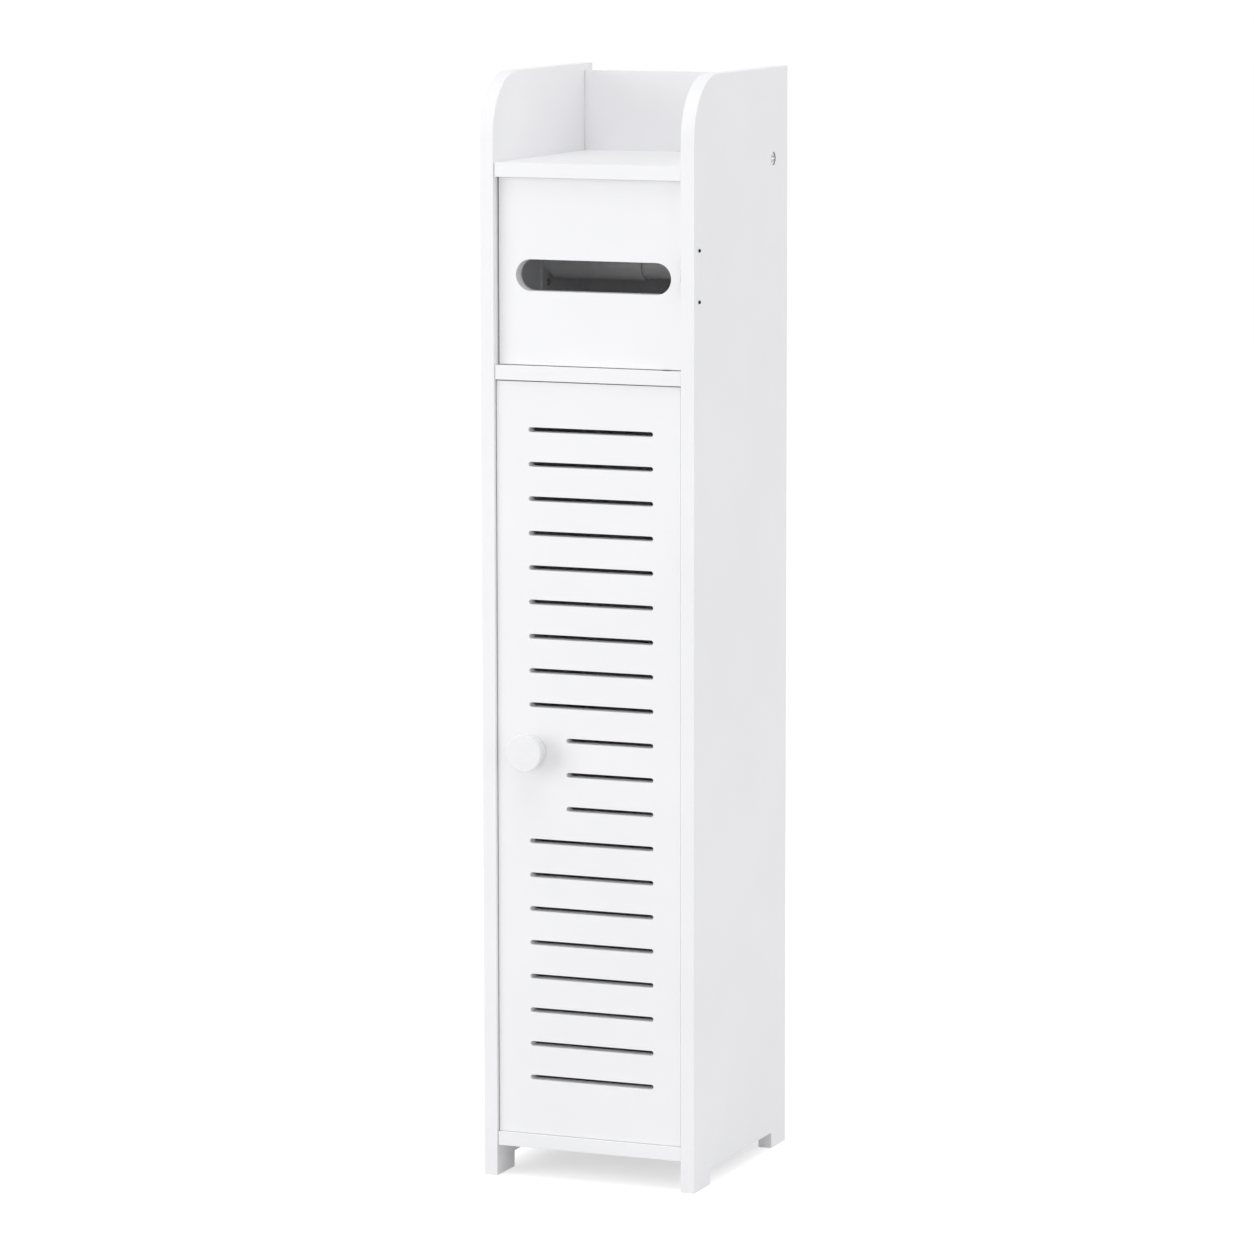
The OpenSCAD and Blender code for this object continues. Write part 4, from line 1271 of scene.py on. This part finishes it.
# %% Cam bolts
BOLT_R_MM = 2.0
BOLT_NECK_R_MM = 1.5
BOLT_HEAD_R_MM = 2.1
BOLT_LENGTH_MM = 30.0
BOLT_OUTSIDE_MM = 23.0
BOLT_CHAMFER_MM = 0.6
BOLT_PITCH_MM = 1.2
BOLT_TURNS = 5
BOLT_HEAD_T_MM = 2.0
BOLT_HEAD_SLOPE_MM = 0.3
BOLT_HEAD_CHAMFER_MM = 0.4
BOLT_PAST_AXIS_MM = 1.0


def cam_bolt():
    """A bolt whose thread sits in the panel, and the end of its head, in the nut, at height 0."""
    length, chamfer, head_chamfer = BOLT_LENGTH_MM, BOLT_CHAMFER_MM, BOLT_HEAD_CHAMFER_MM
    start = BOLT_PITCH_MM - length
    section = [(0, -length), (BOLT_R_MM - chamfer, -length), (BOLT_R_MM, chamfer - length)]
    section += thread(BOLT_R_MM, start, BOLT_PITCH_MM, BOLT_TURNS, BOLT_PITCH_MM / 2, 0.8)
    section += [(BOLT_R_MM, -BOLT_OUTSIDE_MM), (BOLT_NECK_R_MM, -BOLT_OUTSIDE_MM)]
    section += [(BOLT_NECK_R_MM, -BOLT_HEAD_T_MM)]
    section += [(BOLT_HEAD_R_MM, BOLT_HEAD_SLOPE_MM - BOLT_HEAD_T_MM)]
    section += [(BOLT_HEAD_R_MM, -head_chamfer), (BOLT_HEAD_R_MM - head_chamfer, 0), (0, 0)]
    return turned("cam_bolt", section, BOLT_STEPS)


bolt_x = nut_x - BOLT_PAST_AXIS_MM * MM
bolt_places = [
    ((side * bolt_x, y, z + CAM_AXIS_MM * MM), (-side, 0, 0))
    for side in SIDES for y, z in cam_places()
]
fitting_set("cam_bolts", "cabinet", zinc_plate, cam_bolt(), bolt_places)

# %% Fluted dowels
DOWEL_R_MM = 3.0
DOWEL_LENGTH_MM = 24.0
DOWEL_CHAMFER_MM = 0.8
DOWEL_FLUTES = 16
DOWEL_FLUTE_DEPTH_MM = 0.25
DOWEL_STEPS = 96


def dowel():
    """A dowel with chamfered ends, one of them at height 0."""
    r, length, chamfer = DOWEL_R_MM, DOWEL_LENGTH_MM, DOWEL_CHAMFER_MM
    section = [(0, -length), (r - chamfer, -length), (r, chamfer - length)]
    section += [(r, -chamfer), (r - chamfer, 0), (0, 0)]
    return turned("dowel", section, DOWEL_STEPS, DOWEL_FLUTES, DOWEL_FLUTE_DEPTH_MM)


dowel_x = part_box("dowels")[1].x
dowel_y = middle_of("dowels").y
dowel_places = [
    ((side * dowel_x, dowel_y, middle_of(shelf).z), (side, 0, 0))
    for side in SIDES for shelf in FIXED_SHELVES
]
fitting_set("dowels", "cabinet", beech, dowel(), dowel_places)

# %% [markdown]
# ## The roller's spring
#
# The roller's two halves are pressed apart by a coil of drawn wire inside.
# A spiral curve with a round profile is exactly that, and its turns, length
# and wire are the tree's inputs. The coil fills its CAD box, and nothing here
# shortens it when the roller is pressed together.

# %% The tree that winds a spring
TURN_STEPS = 20
WIRE_STEPS = 10


def spring_tree():
    """A coil along X."""
    tree, given = new_tree("Compression spring", {
        "Mesh": "Geometry",
        "Turns": "Float",
        "Length": "Float",
        "Mean radius": "Float",
        "Wire radius": "Float",
        "Start": "Vector",
        "Material": "Material",
    })
    spiral = add(
        tree, "GeometryNodeCurveSpiral", {"Resolution": TURN_STEPS},
        {
            "Rotations": given["Turns"],
            "Height": given["Length"],
            "Start Radius": given["Mean radius"],
            "End Radius": given["Mean radius"],
        },
    )
    wire = add(
        tree, "GeometryNodeCurvePrimitiveCircle", {"Resolution": WIRE_STEPS},
        {"Radius": given["Wire radius"]},
    )
    coil = add(
        tree, "GeometryNodeCurveToMesh", {"Fill Caps": True},
        {"Curve": spiral.outputs["Curve"], "Profile Curve": wire.outputs["Curve"]},
    )
    laid = add(
        tree, "GeometryNodeTransform", {"Rotation": (0, math.pi / 2, 0)},
        {"Geometry": coil.outputs["Mesh"], "Translation": given["Start"]},
    )
    finish_tree(tree, laid.outputs["Geometry"], given["Material"])
    return tree


spring_winding = spring_tree()

# %% Wind the spring
SPRING_WIRE_R_MM = 0.6
SPRING_TURNS = 12.0


def roller_spring():
    """The spring between the barrel's closed end and the plunger."""
    low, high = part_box("roller_spring")
    middle = middle_of("roller_spring")
    wire_r = SPRING_WIRE_R_MM * MM
    values = {
        "Turns": SPRING_TURNS,
        "Length": high.x - low.x - 2 * wire_r,
        "Mean radius": (high.z - low.z) / 2 - wire_r,
        "Wire radius": wire_r,
        "Start": (low.x + wire_r, middle.y, middle.z),
        "Material": drawn_wire,
    }
    coil = grown("spring_coil", spring_winding, values, bpy.data.meshes.new("spring_coil"))
    coil.data.shade_smooth()
    hand_over(coil, None, "roller", "roller_spring")
    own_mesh(coil)
    return coil


print("spring:", len(roller_spring().data.polygons), "faces")

# %% [markdown]
# ## Small fittings with eased edges
#
# Hinge leaves, catches, sockets, shelf supports and the roller's halves keep
# their CAD shape and get the small rounds that pressing or moulding leaves.

# %% Ease the fittings
SLOT_FINISHES = {
    "white_socket": fitting_polypropylene,
    "white_plastic": roller_polystyrene,
    "zinc_steel": zinc_plate,
    "magnet": ferrite,
}
EASED_FITTINGS = [
    # node, body, record slot, width of the round in mm, shortest edge that gets it in mm
    ("shelf_supports", "cabinet", "white_socket", 0.3, 1.0),
    ("roll_hinge_panel_leaf", "cabinet", "zinc_steel", 0.12, 0.6),
    ("roll_hinge_door_leaf", "roll_door", "zinc_steel", 0.12, 0.6),
    ("roll_catch", "cabinet", "white_socket", 0.5, 2.0),
    ("storage_catch", "cabinet", "white_socket", 0.5, 2.0),
    ("catch_magnets", "cabinet", "magnet", 0.2, 1.0),
    ("roll_strike_plate", "roll_door", "zinc_steel", 0.2, 0.8),
    ("storage_strike_plate", "storage_door", "zinc_steel", 0.2, 0.8),
    ("roller_socket_left", "cabinet", "white_socket", 0.5, 0.4),
    ("roller_socket_right", "cabinet", "white_socket", 0.5, 0.4),
    ("roller_barrel", "roller", "white_plastic", 0.4, 0.3),
    ("roller_plunger", "roller_plunger", "white_plastic", 0.4, 0.3),
]
for node, body, slot, width_mm, shortest_mm in EASED_FITTINGS:
    fitting = eased(node, node + "_eased", width_mm, shortest_mm)
    hand_over(fitting, SLOT_FINISHES[slot], body, node)
    print(node, len(fitting.data.polygons), "faces")

# %% [markdown]
# ## Finishes on the nodes that stay
#
# The pins and bushes have the right shape already, so they only get the finish
# of the real piece.

# %% Give the kept nodes their finish
NODE_FINISHES = {
    "roll_hinge_pin": zinc_plate,
    "pivot_pin_top": zinc_plate,
    "pivot_pin_bottom": zinc_plate,
    "pivot_bush_top": fitting_polypropylene,
    "pivot_bush_bottom": fitting_polypropylene,
}
for node, material in NODE_FINISHES.items():
    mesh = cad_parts[node].data
    mesh.materials.clear()
    mesh.materials.append(material)
print("finished nodes:", len(NODE_FINISHES))

# %% [markdown]
# ## The studio
#
# The cabinet stands on a seamless white floor in soft light. A large softbox
# on the left models it and throws the knob's shadow to the right, one high up
# lights the tray, and three weaker ones fill the front, the insides of the
# slots and the side panel. Pale surroundings fill the rest. The camera and
# reflections see the floor and the surroundings as white, while the floor
# still takes the shadow.

# %% Floor and surroundings
FLOOR_HALF_SIZE = 40  # metres
FLOOR_GLOW = 0.53
FLOOR_PAINT = "#dddddd"
SURROUNDINGS = 0.668
WHITE = "#ffffff"


def looked_at(tree):
    """1 for a ray of the camera, a reflection or clear glass, and 0 for one that gives light."""
    path = add(tree, "ShaderNodeLightPath")
    seen = path.outputs["Is Camera Ray"]
    for kind in ("Is Glossy Ray", "Is Transmission Ray"):
        either = {0: seen, 1: path.outputs[kind]}
        seen = add(tree, "ShaderNodeMath", {"operation": "MAXIMUM"}, either).outputs[0]
    return seen


def studio_floor():
    """A very large white floor that keeps a soft shadow."""
    mesh = bpy.data.meshes.new("studio_floor")
    half = FLOOR_HALF_SIZE
    corners = [(-half, -half, 0), (half, -half, 0), (half, half, 0), (-half, half, 0)]
    mesh.from_pydata(corners, [], [(0, 1, 2, 3)])
    floor = link_piece("studio_floor", mesh)
    material = bpy.data.materials.new("Seamless white floor")
    tree = cleared(material)
    paint = add(tree, "ShaderNodeBsdfDiffuse", {"Color": linear(FLOOR_PAINT)})
    strength = add(
        tree, "ShaderNodeMath", {"operation": "MULTIPLY", 1: FLOOR_GLOW}, {0: looked_at(tree)},
    )
    glow = add(tree, "ShaderNodeEmission", links={"Strength": strength.outputs[0]})
    both = add(tree, "ShaderNodeAddShader", links={0: paint.outputs[0], 1: glow.outputs[0]})
    add(tree, "ShaderNodeOutputMaterial", links={"Surface": both.outputs[0]})
    mesh.materials.append(material)
    floor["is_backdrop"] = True
    return floor


def surroundings():
    """White to the camera and in reflections, and a level fill for the rest."""
    world = bpy.data.worlds.new("White studio")
    tree = cleared(world)
    level = add(
        tree, "ShaderNodeMapRange", {"To Min": SURROUNDINGS, "To Max": 1.0},
        {"Value": looked_at(tree)},
    )
    sky = add(
        tree, "ShaderNodeBackground", {"Color": linear(WHITE)},
        {"Strength": level.outputs["Result"]},
    )
    add(tree, "ShaderNodeOutputWorld", links={"Surface": sky.outputs[0]})
    scene.world = world
    return world


print("studio:", studio_floor().name, "and", surroundings().name)

# %% Softboxes
SOFTBOX_AIM_HEIGHT = 0.4
SOFTBOXES = [
    # name, azimuth and elevation in degrees, distance, size, watts
    ("Key softbox", -45, 11, 3.0, 2.0, 26),
    ("Top softbox", 0, 70, 3.0, 1.5, 17),
    ("Front fill", 25, 22, 3.5, 2.0, 5),
    ("Slot fill", 62, 6, 3.5, 1.5, 8),
    ("Side fill", 118, 30, 3.5, 2.0, 14),
]
for name, azimuth, elevation, distance, size, watts in SOFTBOXES:
    lamp = bpy.data.lights.new(name, "AREA")
    lamp.shape = "SQUARE"
    lamp.size = size
    lamp.energy = watts
    box = bpy.data.objects.new(name, lamp)
    scene.collection.objects.link(box)
    box.matrix_world = facing(Vector((0, 0, SOFTBOX_AIM_HEIGHT)), azimuth, elevation, distance)
    print(name, "at", [round(v, 2) for v in box.matrix_world.translation])
scene.view_settings.view_transform = "Standard"

# %% [markdown]
# ## The size against the CAD box
#
# The largest overhang of the visual model's box over the CAD model's box is
# printed. The visual model has to stay inside the box of the CAD model.

# %% Sizes
visual_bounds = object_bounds()
growth_mm = [
    max(cad_low - low, high - cad_high) / MM
    for cad_low, low, high, cad_high in zip(cad_bounds[0], *visual_bounds, cad_bounds[1])
]
print("stands out of the CAD box by at most", round(max(growth_mm), 3), "mm")
